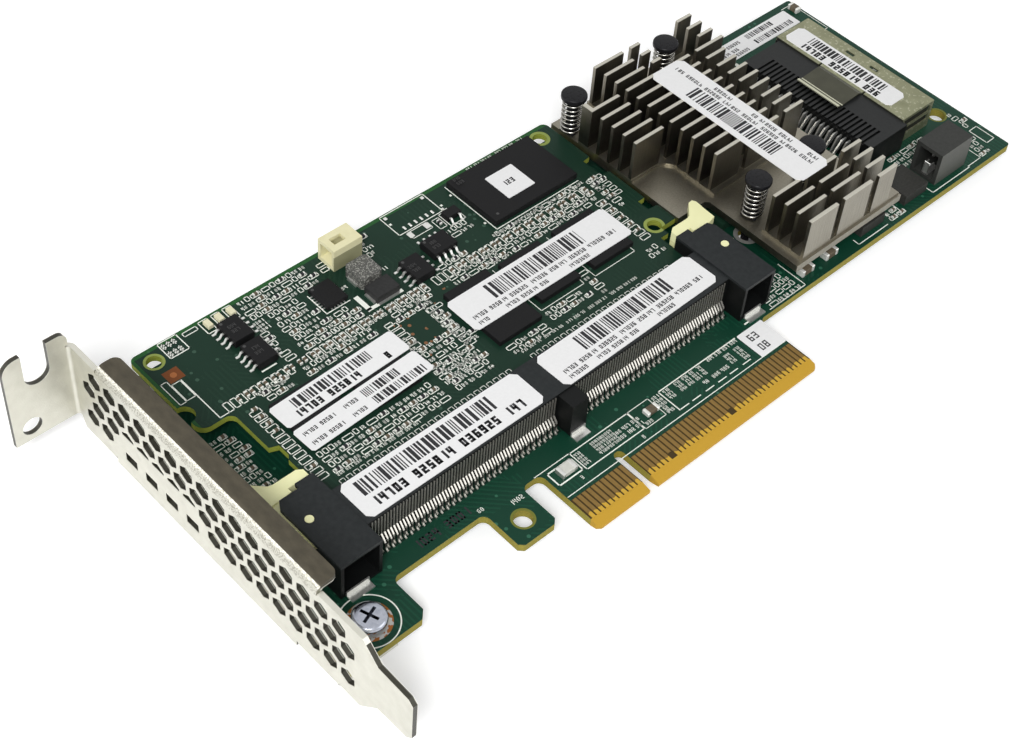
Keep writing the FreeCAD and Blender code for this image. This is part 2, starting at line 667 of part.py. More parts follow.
def module_capacitors():
    """Rows of small two-ended ceramic parts over the memory chips."""
    parts = [chip((x, x + 0.6), (50.9, 51.9), MODULE_FACE, 0.5)
             for x in (-41 + 2.6 * i for i in range(30)) if not -4.4 < x < 1.4]
    parts += [chip((-40.6, -39.6), (y, y + 0.55), MODULE_FACE, 0.5) for y in (42.6, 44.4, 46.2, 48.0, 33.6)]
    parts += [chip((34.2, 35.2), (y, y + 0.55), MODULE_FACE, 0.5) for y in (38.2, 40.0, 42.2, 44.4, 46.6)]
    return group(parts)


# --- module socket ---------------------------------------------------------------------------------------

def socket_block(outer, inner, pivot):
    """End block of the socket, from its outer face to its inner one, with a pocket and a latch channel."""
    side = 1 if inner > outer else -1
    front_wall, floor, roof = CHANNEL
    depth, wall, lid = CAVITY
    step_x = pivot + side * 2.4
    block = prism([
        (outer, BLOCK_FRONT), (inner, BLOCK_FRONT), (inner, BLOCK_STEP), (step_x, BLOCK_STEP),
        (step_x, BLOCK_REAR), (outer + side * 0.8, BLOCK_REAR), (outer, BLOCK_REAR - 1.3),
    ], "z", 0.0, BLOCK_H)
    pocket_x = sorted((outer + side * wall, inner - side * wall))
    pocket = box(pocket_x, (BLOCK_FRONT - 1, BLOCK_FRONT + depth), (0.5, BLOCK_H - lid))
    channel_x = sorted((outer - side, outer + side * CHANNEL_INNER))
    channel = box(channel_x, (front_wall, BLOCK_STEP + 1), (floor, roof))
    bores = rod(pivot, PIVOT_Y, PIVOT_R + PIVOT_PLAY, floor - 0.9, BLOCK_H + 1)
    return cut(block, [pocket, channel, bores])


def socket_housing():
    """Black moulding of the socket: two end blocks, the slotted body between them and a centre post."""
    left = socket_block(LEFT_BLOCK[0], LEFT_BLOCK[1], LEFT_PIVOT)
    right = socket_block(RIGHT_BLOCK[1], RIGHT_BLOCK[0], RIGHT_PIVOT)
    body = box((LEFT_BLOCK[1], RIGHT_BLOCK[0]), (BODY_FRONT, BODY_REAR), (BODY_LOW, BODY_HIGH))
    post = box(POST, (POST_FRONT, BODY_FRONT), (BODY_LOW, BODY_HIGH - 0.3))
    housing = fused([left, right, body, post])
    slot = box((NECK_LEFT - SLOT_PLAY, NECK_RIGHT + SLOT_PLAY), (MODULE_EDGE - SLOT_PLAY, BLOCK_STEP + 1),
               (MODULE_Z - SLOT_PLAY, MODULE_FACE + SLOT_PLAY))
    key_x, key_w, key_depth = MODULE_KEY
    rib = box((key_x - key_w / 2 + 0.15, key_x + key_w / 2 - 0.15),
              (MODULE_EDGE - SLOT_PLAY, MODULE_EDGE + key_depth - 0.15),
              (MODULE_Z - SLOT_PLAY, MODULE_FACE + SLOT_PLAY))
    return cut(housing, [slot.cut(rib)])


def socket_contacts():
    """Contact legs down the front of the socket, their feet in two staggered rows."""
    legs = []
    front = BODY_FRONT
    for first, last, count in ((LEFT_BLOCK[1] + LEG_MARGIN, POST[0] - 0.6, LEFT_LEGS),
                               (POST[1] + 0.3, RIGHT_BLOCK[0] - LEG_MARGIN, RIGHT_LEGS)):
        for i in range(count):
            x = first + (last - first) * i / (count - 1)
            foot = FOOT_FAR if i % 2 else FOOT_NEAR
            profile = [(front, LEG_HIGH), (front - LEG_T, LEG_HIGH), (front - LEG_T, LEG_KNEE), (foot, 0),
                       (front, LEG_KNEE - 0.15)]
            legs.append(prism(profile, "x", x - LEG_W / 2, x + LEG_W / 2))
    return group(legs)


def socket_hold_downs():
    """Solder feet of the socket: one bent strip before each end block and one at the centre post."""
    feet = []
    for x0, x1, y in ((-49.3, -45.0, BLOCK_FRONT), (37.3, 41.3, BLOCK_FRONT), (-3.3, -0.2, POST_FRONT)):
        feet.append(prism([(y, 0), (y, 1.1), (y - 0.25, 1.1), (y - 0.25, 0.25), (y - 1.5, 0.25),
                           (y - 1.5, 0)], "x", x0, x1))
    return group(feet)


def latch(pivot, side, reach):
    """Ejector latch on its own pivot bosses: a lever, the hook over the module and a thumb piece."""
    front_wall, floor, roof = CHANNEL
    low = floor + LATCH_PLAY
    high = roof - LATCH_PLAY
    near, far = HOOK_Y

    def at(dx, y, *radius):
        return (pivot + side * dx, y) + radius

    lever = prism([at(-1.2, PIVOT_Y - 0.8), at(-0.5, PIVOT_Y - 1.5), at(0.5, PIVOT_Y - 1.5),
                   at(1.2, PIVOT_Y - 0.8), at(1.2, far), at(-1.2, far)],
                  "z", low, high)
    rail = prism([at(-2.9, 25.2), at(-1.0, 24.6), at(-1.0, 30.4), at(-2.3, 30.4)], "z", low, high)
    hook = prism([at(-0.9, near), at(reach, near), at(reach, far - 0.6), at(reach - 0.9, far), at(-1.2, far)],
                 "z", HOOK_Z[0], HOOK_Z[1])
    thumb = prism([at(1.3, near), at(1.4, near - 0.8), at(-2.5, near - 1.05), at(-4.0, near - 0.7),
                   at(-4.1, far - 0.2), at(-4.3, far + 1.9), at(-3.9, far + 2.6), at(-3.0, far + 2.5),
                   at(-0.7, far + 0.2), at(0.4, far - 0.1)], "z", THUMB_Z, HOOK_Z[1])
    bosses = [rod(pivot, PIVOT_Y, PIVOT_R, low - 0.8, low), rod(pivot, PIVOT_Y, PIVOT_R, high, BLOCK_H)]
    return fused([lever, rail, hook, thumb] + bosses)


# --- cable connector -------------------------------------------------------------------------------------

def cable_cage():
    """Cage folded from thin sheet round the mouth, with its spring tongue, slots and side windows."""
    x = (CAGE_REAR, CAGE_MOUTH)
    outer = box(x, (CAGE_LOW_Y, CAGE_HIGH_Y), (0, CAGE_H))
    inner = box((x[0] - 1, x[1] + 1), (CAGE_LOW_Y + CAGE_T, CAGE_HIGH_Y - CAGE_T), (CAGE_T, CAGE_H - CAGE_T))
    tools = [inner]
    tools += [box((99.9, 100.6), (y - 1, y + 1), (CAGE_H - 1, CAGE_H + 1)) for y in (39.7, 45.6)]
    tools += [box((CAGE_REAR - 1, CAGE_REAR + 1.0), (y - 0.2, y + 0.2), (CAGE_H - 1, CAGE_H + 1))
              for y in (36.4, 47.1)]
    for y in (CAGE_LOW_Y, CAGE_HIGH_Y):
        tools.append(box((93.6, 101.4), (y - 1, y + 1), (4.0, 5.6)))
        tools.append(box((93.6, 101.4), (y - 1, y + 1), (2.0, 3.5)))
    tip = CAGE_REAR - 7.2
    spring = prism([(CAGE_REAR, CAGE_H - CAGE_T), (CAGE_REAR, CAGE_H), (CAGE_REAR - 1.0, CAGE_H + 0.5),
                    (tip + 1.1, CAGE_H + 0.15), (tip + 0.5, CAGE_H + 0.6), (tip, CAGE_H + 0.6),
                    (tip, CAGE_H + 0.35), (tip + 0.4, CAGE_H + 0.35), (tip + 1.0, CAGE_H - 0.1),
                    (CAGE_REAR - 1.1, CAGE_H + 0.2)],
                   "y", 36.5, 46.5)
    return fused([cut(outer, tools), spring])


def cable_housing():
    """Black moulding behind the cage, ribbed on top, with a tongue that carries the contacts in the mouth."""
    rear = box((SHELL_REAR, CAGE_REAR), (SHELL_LOW_Y, SHELL_HIGH_Y), (0, SHELL_H))
    tongue = box((CAGE_REAR - 0.5, TONGUE_END), (30.0, 54.5), (2.6, 3.6))
    play, thick, end = CHEEK
    low = CAGE_LOW_Y + CAGE_T + play
    high = CAGE_HIGH_Y - CAGE_T - play
    cheeks = [box((CAGE_REAR - 0.5, end), y, (CAGE_T + play, CAGE_H - CAGE_T - play))
              for y in ((low, low + thick), (SHELL_HIGH_Y - thick, high))]
    grooves = []
    for i in range(RIBS):
        y = RIB_FIRST_Y + i * RIB_PITCH
        grooves.append(box((SHELL_REAR - 1, SHELL_REAR + RIB_LENGTH), (y, y + RIB_GROOVE),
                           (SHELL_H - 0.5, SHELL_H + 1)))
    return cut(fused([rear, tongue] + cheeks), grooves)


def cable_tails():
    """Solder tails from the back of the connector, bent down to the board."""
    tails = []
    for i in range(RIBS):
        y = RIB_FIRST_Y + (i + 0.75) * RIB_PITCH
        reach = TAIL_REACH if i % 2 else TAIL_REACH - 1.6
        x = SHELL_REAR
        profile = [(x, 4.6), (x - 1.2, 4.6), (x - reach - 0.4, 0), (x - reach, 0), (x, 4.2)]
        tails.append(prism(profile, "y", y - 0.15, y + 0.15))
    return group(tails)


# --- battery header and the board's small parts ----------------------------------------------------------

def battery_header():
    """Black shrouded header lying on its side, open towards the heatsink."""
    x0, x1, y0, y1 = HEADER
    body = box((x0, x1), (y0, y1), (0, HEADER_H))
    mouth = box((x0 - 1, x1 - HEADER_BACK), (y0 + HEADER_WALL, y1 - HEADER_WALL),
                (HEADER_WALL, HEADER_H - HEADER_WALL))
    return cut(body, [mouth])


def battery_header_pins():
    """Two rows of square pins out of the header's back wall."""
    x0, x1, y0, y1 = HEADER
    back = x1 - HEADER_BACK
    half = HEADER_PIN / 2
    pins = []
    for y in ((y0 + y1) / 2 - 1, (y0 + y1) / 2 + 1):
        for z in (HEADER_H / 2 - 1, HEADER_H / 2 + 1):
            pins.append(box((x0 + 3.8, back), (y - half, y + half), (z - half, z + half)))
    return group(pins)


def board_inductors():
    return group([chip((81.0, 87.4), (15.2, 21.4), 0, 2.2), chip((68.4, 74.8), (15.0, 21.2), 0, 2.2)])


def board_fuse():
    return box((-10.2, -7.0), (10.0, 12.0), (0, 1.0))


def board_capacitors():
    """Larger ceramic and tantalum capacitors of the main board."""
    return group([
        chip((9.0, 11.8), (10.2, 11.7), 0, 0.8), chip((52.4, 55.6), (14.9, 16.5), 0, 1.4),
        chip((58.8, 62.0), (14.9, 16.5), 0, 1.4), chip((78.0, 79.2), (17.6, 19.6), 0, 0.9),
        chip((79.8, 81.0 - 0.3), (22.2, 23.8), 0, 0.9), chip((108.2, 109.6), (64.8, 67.2), 0, 1.2),
    ])


# --- paper labels ----------------------------------------------------------------------------------------

def label(x, y, low, turn=0.0, cut_off=0.4):
    """Thin sheet with its corners cut off, turned about its centre."""
    sheet = prism(clipped(x, y, cut_off), "z", low, low + LABEL_T)
    sheet.rotate(V((x[0] + x[1]) / 2, (y[0] + y[1]) / 2, 0), V(0, 0, 1), turn)
    return sheet


def module_labels():
    face = MODULE_FACE + DRAM_H
    return group([label((-39.0, -13.8), (41.65, 46.65), face, 1.8, 0.4),
                  label((-38.95, -13.65), (35.9, 40.9), face, 2.3, 0.4),
                  label((-3.2, 32.9), (37.9, 45.7), face, 0.0, 0.6)])


def socket_labels():
    return group([label((-41.4, -5.7), (19.2, 26.8), BODY_HIGH, 0.0, 0.9),
                  label((-1.5, 34.6), (19.4, 27.0), BODY_HIGH, 1.2, 0.9)])


def heatsink_label():
    return label((57.0, 65.1), (SINK_FRONT + 8.2, SINK_REAR - 8.8), SINK_TOP, 0.0, 1.0)


def cage_label():
    return label((93.7, 98.9), (30.7, 56.9), CAGE_H, 0.0, 0.8)


def flash_label():
    return label((22.0, 28.2), (57.4, 63.7), MODULE_FACE + 1.2, 0.0, 0.1)


def board_labels():
    return group([label((80.0, 107.0), (62.6, 67.2), 0.0, 0.0, 0.15),
                  label((33.2, 39.3), (7.1, 13.0), 0.0, 0.0, 0.15)])


NODES = {
    "main_board": main_board,
    "edge_contacts": edge_contacts,
    "bracket": bracket,
    "bracket_screws": bracket_screws,
    "status_leds": status_leds,
    "raid_processor": raid_processor,
    "thermal_pad": thermal_pad,
    "heatsink": heatsink,
    "push_pins": push_pins,
    "push_pin_springs": push_pin_springs,
    "module_board": module_board,
    "module_memory_chips": module_memory_chips,
    "module_flash_chip": module_flash_chip,
    "module_small_chips": module_small_chips,
    "module_power_chip": module_power_chip,
    "module_transistor": module_transistor,
    "module_inductor": module_inductor,
    "module_choke": module_choke,
    "module_header": module_header,
    "module_header_pins": module_header_pins,
    "module_lamps": module_lamps,
    "module_capacitors": module_capacitors,
    "socket_housing": socket_housing,
    "socket_contacts": socket_contacts,
    "socket_hold_downs": socket_hold_downs,
    "left_latch": lambda: latch(LEFT_PIVOT, 1, LEFT_REACH),
    "right_latch": lambda: latch(RIGHT_PIVOT, -1, RIGHT_REACH),
    "cable_cage": cable_cage,
    "cable_housing": cable_housing,
    "cable_tails": cable_tails,
    "battery_header": battery_header,
    "battery_header_pins": battery_header_pins,
    "board_inductors": board_inductors,
    "board_fuse": board_fuse,
    "board_capacitors": board_capacitors,
    "module_labels": module_labels,
    "socket_labels": socket_labels,
    "heatsink_label": heatsink_label,
    "cage_label": cage_label,
    "flash_label": flash_label,
    "board_labels": board_labels,
}

os.makedirs("parts", exist_ok=True)
for name, make in NODES.items():
    make().exportStep(os.path.join("parts", name + ".step"))
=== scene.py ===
"""Low-profile storage controller card with a latched memory module: its finishes, fine parts and print.

Frame: the origin is the centre of the key notch on the edge of the contact tongue, in the plane of the
component side. +X runs away from the bracket, +Y to the top edge, +Z out of the component side.
"""
import math
import random

import bmesh
import bpy
from mathutils import Matrix, Vector


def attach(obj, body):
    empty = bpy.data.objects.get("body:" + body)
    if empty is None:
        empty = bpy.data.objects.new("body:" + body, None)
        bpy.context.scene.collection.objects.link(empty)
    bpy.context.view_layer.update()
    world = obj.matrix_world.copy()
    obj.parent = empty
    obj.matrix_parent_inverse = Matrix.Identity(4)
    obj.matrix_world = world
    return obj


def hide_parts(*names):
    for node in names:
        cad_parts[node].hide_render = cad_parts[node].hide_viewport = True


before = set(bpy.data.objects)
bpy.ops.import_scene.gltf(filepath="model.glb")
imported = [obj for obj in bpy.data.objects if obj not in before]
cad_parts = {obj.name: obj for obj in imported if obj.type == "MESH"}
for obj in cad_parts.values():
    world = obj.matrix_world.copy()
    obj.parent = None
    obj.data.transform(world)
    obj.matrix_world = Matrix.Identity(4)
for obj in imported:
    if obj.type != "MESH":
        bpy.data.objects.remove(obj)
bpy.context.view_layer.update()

# === Main board ==========================================================================================
# Fibreglass laminate under deep green solder mask, routed to shape, with bare glass showing on its edges.
# White print marks the parts, plated rings stand round the holes, and the tongue's bevel shows bright gold.


class Value:
    """A number or vector inside a finish: Python's operators on it add the Math nodes."""

    def __init__(self, finish, socket):
        self.finish = finish
        self.socket = socket

    def math(self, operation, other=0.0, swapped=False):
        pair = (other, self) if swapped else (self, other)
        return self.finish.node("Math", {"operation": operation}, {0: pair[0], 1: pair[1]})

    def __add__(self, other):
        return self.math("ADD", other)

    __radd__ = __add__

    def __sub__(self, other):
        return self.math("SUBTRACT", other)

    def __rsub__(self, other):
        return self.math("SUBTRACT", other, True)

    def __mul__(self, other):
        return self.math("MULTIPLY", other)

    __rmul__ = __mul__

    def __mod__(self, other):
        return self.math("FLOORED_MODULO", other)

    def __lt__(self, other):
        return self.math("LESS_THAN", other)

    def __gt__(self, other):
        return self.math("GREATER_THAN", other)

    def __abs__(self):
        return self.math("ABSOLUTE")


class Finish:
    """A procedural material in the making. Lengths are in millimetres of the card's frame."""

    def __init__(self, name):
        self.material = bpy.data.materials.new(name)
        self.material.use_nodes = True
        self.tree = self.material.node_tree
        self.shader = self.tree.nodes["Principled BSDF"]
        bare = self.node("TexCoord", {}, {}, "Object")
        self.point = self.node("VectorMath", {"operation": "SCALE"}, {0: bare, "Scale": 1000.0})
        self.x, self.y, self.z = self.node("SeparateXYZ", {}, {0: self.point}, 0, 1, 2)

    def feed(self, socket, value):
        if isinstance(value, Value):
            self.tree.links.new(value.socket, socket)
        elif isinstance(value, tuple) and len(value) == 3 and socket.type == "RGBA":
            socket.default_value = value + (1.0,)
        else:
            socket.default_value = value

    def node(self, kind, settings, sockets, *outputs):
        """Adds a node: its settings first, then the values or links of its sockets."""
        made = self.tree.nodes.new("ShaderNode" + kind)
        for name, value in settings.items():
            setattr(made, name, value)
        for key, value in sockets.items():
            self.feed(made.inputs[key], value)
        values = [Value(self, made.outputs[key]) for key in outputs or (0,)]
        return values[0] if len(values) == 1 else values

    def mix(self, amount, first, second):
        """Colour that goes from first to second with the amount."""
        return self.node("Mix", {"data_type": "RGBA"}, {0: amount, 6: first, 7: second}, 2)

    def noise(self, size, detail=2.0, vector=None):
        """Soft cloud from 0 to 1 with features of about the given size."""
        vector = vector or self.point
        return self.node("TexNoise", {}, {"Vector": vector, "Scale": 1.0 / size, "Detail": detail})

    def stretched(self, x, y, z):
        """The point with its axes scaled, for brushed and drawn-out patterns."""
        return self.node("VectorMath", {"operation": "MULTIPLY"}, {0: self.point, 1: (x, y, z)})

    def within(self, value, low, high):
        return (value > low) * (value < high)

    def ring(self, x, y, inner, outer):
        """Flat ring round an upright line."""
        flat = self.node("CombineXYZ", {}, {0: self.x - x, 1: self.y - y, 2: 0.0})
        far = self.node("VectorMath", {"operation": "LENGTH"}, {0: flat}, "Value")
        return self.within(far, inner, outer)

    def rings(self, spots, inner, outer):
        """Like rings round several upright lines."""
        made = [self.ring(x, y, inner, outer) for x, y in spots]
        return sum(made[1:], made[0])

    def bump(self, height, depth):
        """Normal of a relief whose full height is depth."""
        return self.node("Bump", {}, {"Height": height, "Strength": 1.0, "Distance": depth / 1000})

    def surface(self, sockets):
        for name, value in sockets.items():
            self.feed(self.shader.inputs[name], value)
        return self.material


def plain(name, dark, light, size, roughness, metallic=0.0, relief=0.01):
    """Finish of one material: two close colours in a fine cloud, with a relief of the same grain."""
    made = Finish(name)
    cloud = made.noise(size, 3.0)
    return made.surface({
        "Base Color": made.mix(cloud, dark, light),
        "Metallic": metallic,
        "Roughness": roughness + cloud * 0.12,
        "Specular IOR Level": 0.5 if metallic else 0.14,
        "Normal": made.bump(cloud, relief),
    })


def paint(node, material):
    """Gives a carried-over node its finish."""
    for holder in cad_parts[node].material_slots:
        holder.material = material


SCREW_SPOTS = ((-49.5, 9.6), (-49.5, 62.7))
PIN_SPOTS = ((43.6, 64.3), (67.2, 64.3), (53.0, 28.5), (67.2, 28.5))
OPEN_HOLES = ((106.1, 27.2), (-20.0, 8.6))
MASK_GREEN = (0.0040, 0.040, 0.022)
MASK_TRACE = (0.008, 0.066, 0.036)
GLASS_EDGE = (0.420, 0.360, 0.065)
SOLDER = (0.46, 0.46, 0.43)
SCORCHED = (0.30, 0.11, 0.03)
BARE_RING = (0.16, 0.17, 0.03)
FINGER_GROUND = (0.050, 0.032, 0.010)
# Colour of the painted shade under the module socket's feet.
FOOT_SHADE = (0.003, 0.012, 0.008)
BEVEL_GOLD = (0.52, 0.32, 0.040)


def solder_mask(name, base, trace, edge, edge_low, edge_high):
    """Solder mask with faint tracks, slanted in places, and vias; bare glass between two heights."""
    mask = Finish(name)
    slow = mask.noise(26.0, 1.0)
    tilt = (mask.x + mask.y * ((slow > 0.5) * 2 - 1)) * 0.7071
    straight = mask.within(slow, 0.43, 0.57)
    across = mask.mix(straight, tilt, mask.x)
    line = abs((across % 0.85) - 0.42) < 0.15
    tracks = line * (mask.noise(9.0, 3.0) > 0.50)
    cell = mask.node("TexVoronoi", {}, {"Vector": mask.stretched(1, 1, 0), "Scale": 0.42}, "Distance")
    via = (cell < 0.14) * (mask.noise(14.0, 0.0) > 0.45)
    colour = mask.mix(tracks * 0.7, base, trace)
    colour = mask.mix(mask.noise(3.0, 4.0) * 0.35, colour, tuple(0.6 * c for c in base))
    colour = mask.mix(via * 0.6, colour, tuple(2.2 * c + 0.03 for c in trace))
    side = mask.within(mask.z, edge_low, edge_high)
    weave = mask.noise(0.35, 2.0, mask.stretched(1, 1, 4))
    layer = abs((mask.z % 0.36) - 0.18) < 0.05
    glass = mask.mix(weave, edge, tuple(0.45 * c for c in edge))
    bare = mask.mix(layer * 0.5, glass, tuple(0.3 * c for c in edge))
    colour = mask.mix(side, colour, bare)
    return mask, colour, side, tracks


board, colour, side, tracks = solder_mask("main_board_mask", MASK_GREEN, MASK_TRACE, GLASS_EDGE, -1.53, -0.04)
solder = board.rings(SCREW_SPOTS, 1.6, 3.5) + board.rings(PIN_SPOTS, 1.6, 2.4)
bare = board.rings(OPEN_HOLES, 1.55, 2.0)
bevel = (board.y < 1.86) * board.within(board.x, -13.0, 40.0)
colour = board.mix(solder * (1 - side), colour, SOLDER)
scorch = board.rings(SCREW_SPOTS[:1], 2.8, 3.5) * (board.noise(0.9, 2.0) > 0.50)
colour = board.mix(scorch * (1 - side), colour, SCORCHED)
colour = board.mix(bare * (1 - side), colour, BARE_RING)
fingers = board.within(board.y, 1.5, 6.4) * board.within(board.x, -12.4, 39.4) * (1 - side)
colour = board.mix(fingers, colour, FINGER_GROUND)
# Painted shade: a dark band on the board under and in front of the socket's feet.
shade_under_feet = board.within(board.y, 17.2, 19.0) * board.within(board.x, -41.8, 35.6) * (1 - side)
colour = board.mix(shade_under_feet * 0.8, colour, FOOT_SHADE)
colour = board.mix(bevel, colour, BEVEL_GOLD)
paint("main_board", board.surface({
    "Base Color": colour,
    "Metallic": bevel * 0.6 + solder * 0.6,
    "Roughness": 0.36 + board.noise(0.5, 2.0) * 0.12 + side * 0.3,
    "Specular IOR Level": 0.18,
    "Normal": board.bump(tracks * (1 - side), 0.02),
}))


def deselect():
    bpy.ops.object.select_all(action="DESELECT")


def at(x, y, z=0.0, turn=0.0, width=1.0, depth=1.0):
    """Place of a copy: moved in millimetres, turned about Z in degrees and drawn out along X and Y."""
    moved = Matrix.Translation((x / 1000, y / 1000, z / 1000))
    return moved @ Matrix.Rotation(math.radians(turn), 4, "Z") @ Matrix.Diagonal((width, depth, 1.0, 1.0))


def repeated(piece, places):
    """The piece copied to each place, every copy with its own mesh, in one object."""
    gathered = bmesh.new()
    for place in places:
        copy = piece.data.copy()
        copy.transform(place)
        gathered.from_mesh(copy)
        bpy.data.meshes.remove(copy)
    gathered.to_mesh(piece.data)
    gathered.free()
    return piece


def settled(piece, name, materials, body="card", stands_for=()):
    """Names a finished piece, gives it its finish and fastens it to its body."""
    piece.name = name
    piece.data.name = name
    piece.data.materials.clear()
    for material in materials:
        piece.data.materials.append(material)
    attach(piece, body)
    if stands_for:
        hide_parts(*stands_for)
    return piece


# Which strokes of a seven-stroke digit are inked: three across from the top, then four upright.
STROKES = {
    "0": "tbjklm", "1": "km", "2": "tcbkl", "3": "tcbkm", "4": "cjkm",
    "5": "tcbjm", "6": "tcbjlm", "7": "tkm", "8": "tcbjklm", "9": "tcbjkm",
}


def digits(text, x, y, height, bold=0.16):
    """Bars of plain digits whose lower left corner is at (x, y), as (x from, x to, y from, y to)."""
    wide = height * 0.55
    line = height * bold
    half = height / 2
    bars = []
    for i, figure in enumerate(text):
        left = x + i * wide * 1.38
        right = left + wide
        drawn = {
            "t": (left, right, y + height - line, y + height),
            "c": (left, right, y + half - line / 2, y + half + line / 2),
            "b": (left, right, y, y + line),
            "j": (left, left + line, y + half, y + height),
            "k": (right - line, right, y + half, y + height),
            "l": (left, left + line, y, y + half),
            "m": (right - line, right, y, y + half),
        }
        bars += [drawn[stroke] for stroke in STROKES.get(figure, "")]
    return bars


def outline(x0, x1, y0, y1, line=0.16, sides="lrbt"):
    """Bars of a drawn rectangle, or of some of its sides."""
    drawn = {
        "l": (x0, x0 + line, y0, y1), "r": (x1 - line, x1, y0, y1),
        "b": (x0, x1, y0, y0 + line), "t": (x0, x1, y1 - line, y1),
    }
    return [drawn[side] for side in sides]


PRINT_LIFT = 0.012
OVER_PRINT = 0.001


def printed(name, bars, face, ink, turn=0.0, centre=(0.0, 0.0)):
    """Flat print from bars, just over a face at a height, turned about a centre."""
    deselect()
    bpy.ops.mesh.primitive_plane_add(size=0.001)
    about = Matrix.Translation((centre[0] / 1000, centre[1] / 1000, 0.0))
    whole = about @ Matrix.Rotation(math.radians(turn), 4, "Z") @ about.inverted()
    places = []
    for x0, x1, y0, y1 in bars:
        places.append(whole @ at((x0 + x1) / 2, (y0 + y1) / 2, face + PRINT_LIFT, 0.0, x1 - x0, y1 - y0))
    return settled(repeated(bpy.context.object, places), name, [ink])


chance = random.Random(11)
INK_WHITE = plain("print_white", (0.78, 0.80, 0.73), (0.92, 0.94, 0.87), 0.4, 0.6)


def figure_row(x, y, count, height=0.75, down=False):
    """Row of plain two-figure marks beside small parts; down stacks them instead."""
    bars = []
    for i in range(count):
        text = str(chance.randint(10, 999))
        step = i * (1.25 * height if down else 2.3 * height + 0.3)
        bars += digits(text, x + (0 if down else step), y - (step if down else 0), height, 0.2)
    return bars


def crowded(x0, x1, y0, y1, drawn=0.62):
    """Bars of outlines and plain figures that fill a rectangle, and the places of parts in some outlines."""
    bars = []
    places = []
    y = y0
    while y < y1:
        x = x0 + chance.uniform(0.0, 0.7)
        while x < x1 - 1.4:
            if chance.random() < drawn:
                wide, high = chance.choice(((1.6, 0.95), (0.9, 1.15), (2.0, 0.95)))
                bars += outline(x, x + wide, y, y + high, 0.17)
                if wide > 1.0 and chance.random() < 0.6:
                    places.append((x + wide / 2, y + high / 2, 0))
                x += wide + 0.22
            else:
                bars += digits(str(chance.randint(10, 99)), x, y + 0.1, 0.78, 0.24)
                x += 1.5
        y += 1.3
    return bars, places


board_bars = [(-13.4, -5.9, 13.12, 13.28), (-12.0, 39.0, 7.02, 7.18)]
board_bars += outline(-11.5, -6.2, 9.4, 12.5, 0.26) + outline(-5.9, 7.1, 9.0, 13.2, 0.2)
board_bars += outline(7.1, 11.9, 8.8, 13.2, 0.14) + outline(14.1, 32.8, 8.0, 13.1, 0.22, "lt")
board_bars += [(x, x + 2.0, 8.0, 8.2) for x in (14.4, 17.2, 20.4, 23.4, 26.2, 29.4)]
board_bars += [(-3.2, -1.3, 14.0, 14.3), (36.4, 38.6, 13.9, 14.2)]
for x in (-5.5, -2.0, -0.9, 0.2, 1.3):
    board_bars += figure_row(x, 12.0, 4, 0.6, True)
board_bars += figure_row(2.2, 10.9, 3, 0.75) + figure_row(2.2, 9.8, 3, 0.75)
board_bars += figure_row(7.9, 9.2, 1, 0.7) + figure_row(12.3, 12.2, 5, 0.7, True)
for x in (14.8, 17.4, 19.2, 21.0, 22.8):
    board_bars += figure_row(x, 12.1, 3, 0.62, True)
board_bars += figure_row(25.4, 12.2, 4, 0.7) + figure_row(21.4, 9.1, 3, 0.8)
board_bars += figure_row(28.2, 10.9, 3, 0.62, True) + figure_row(30.6, 10.9, 4, 0.62, True)
board_bars += digits("3", -7.7, 8.1, 0.75) + digits("8", 5.5, 7.6, 0.8) + digits("6", 12.6, 9.0, 0.8)
board_bars += outline(42.4, 51.8, 13.5, 17.5, 0.18, "b") + outline(42.4, 51.8, 13.5, 20.0, 0.18, "r")
board_bars += crowded(42.6, 51.4, 13.6, 23.6, 0.5)[0]
board_bars += outline(66.7, 74.9, 13.9, 15.4, 0.2, "lb") + outline(88.0, 99.2, 13.9, 22.0, 0.2, "lb")
board_bars += outline(76.6, 79.6, 14.6, 16.9, 0.18) + outline(99.0, 103.0, 14.2, 17.0, 0.18, "br")
board_bars += outline(107.2, 109.6, 16.0, 20.4, 0.18)
board_bars += outline(106.9, 110.1, 57.9, 67.7, 0.16, "rt") + outline(108.6, 110.1, 57.9, 60.0, 0.16, "b")
board_bars += [(x, x + 0.75, 60.6, 61.9) for x in (76.0 + 1.3 * i for i in range(9))]
board_parts = []
for x0, x1, y0, y1 in (
        (103.2, 106.8, 14.2, 24.4), (107.2, 109.8, 21.2, 26.0), (99.2, 103.0, 17.4, 24.6),
        (75.6, 80.4, 14.0, 17.0), (88.2, 98.6, 21.6, 24.6), (103.2, 106.2, 29.8, 56.8),
        (107.0, 109.8, 30.0, 57.0), (-53.8, -49.2, 32.0, 58.0), (-48.0, -43.2, 31.6, 50.0),
        (78.0, 81.8, 57.6, 61.8)):
    more, spots = crowded(x0, x1, y0, y1, 0.5)
    board_bars += more
    board_parts += spots
board_bars += digits("1402", -19.6, 11.4, 0.9) + digits("60", -24.4, 13.6, 0.8)
printed("board_print", board_bars, 0.0, INK_WHITE)

deselect()
bpy.ops.mesh.primitive_circle_add(vertices=64, radius=0.0047, fill_type="NOTHING")
arc = bpy.context.object
bpy.ops.object.mode_set(mode="EDIT")
bpy.ops.mesh.select_all(action="SELECT")
bpy.ops.mesh.extrude_region_move()
bpy.ops.transform.resize(value=(0.955, 0.955, 1.0))
bpy.ops.object.mode_set(mode="OBJECT")
arc.data.transform(at(*SCREW_SPOTS[0], PRINT_LIFT + OVER_PRINT))
settled(arc, "screw_ring_print", [INK_WHITE])

# === Edge contacts =======================================================================================
# Copper strips in one row on each face of the tongue, plated with hard gold. They are dull and brown where
# they have been rubbed, and bright at the tip.

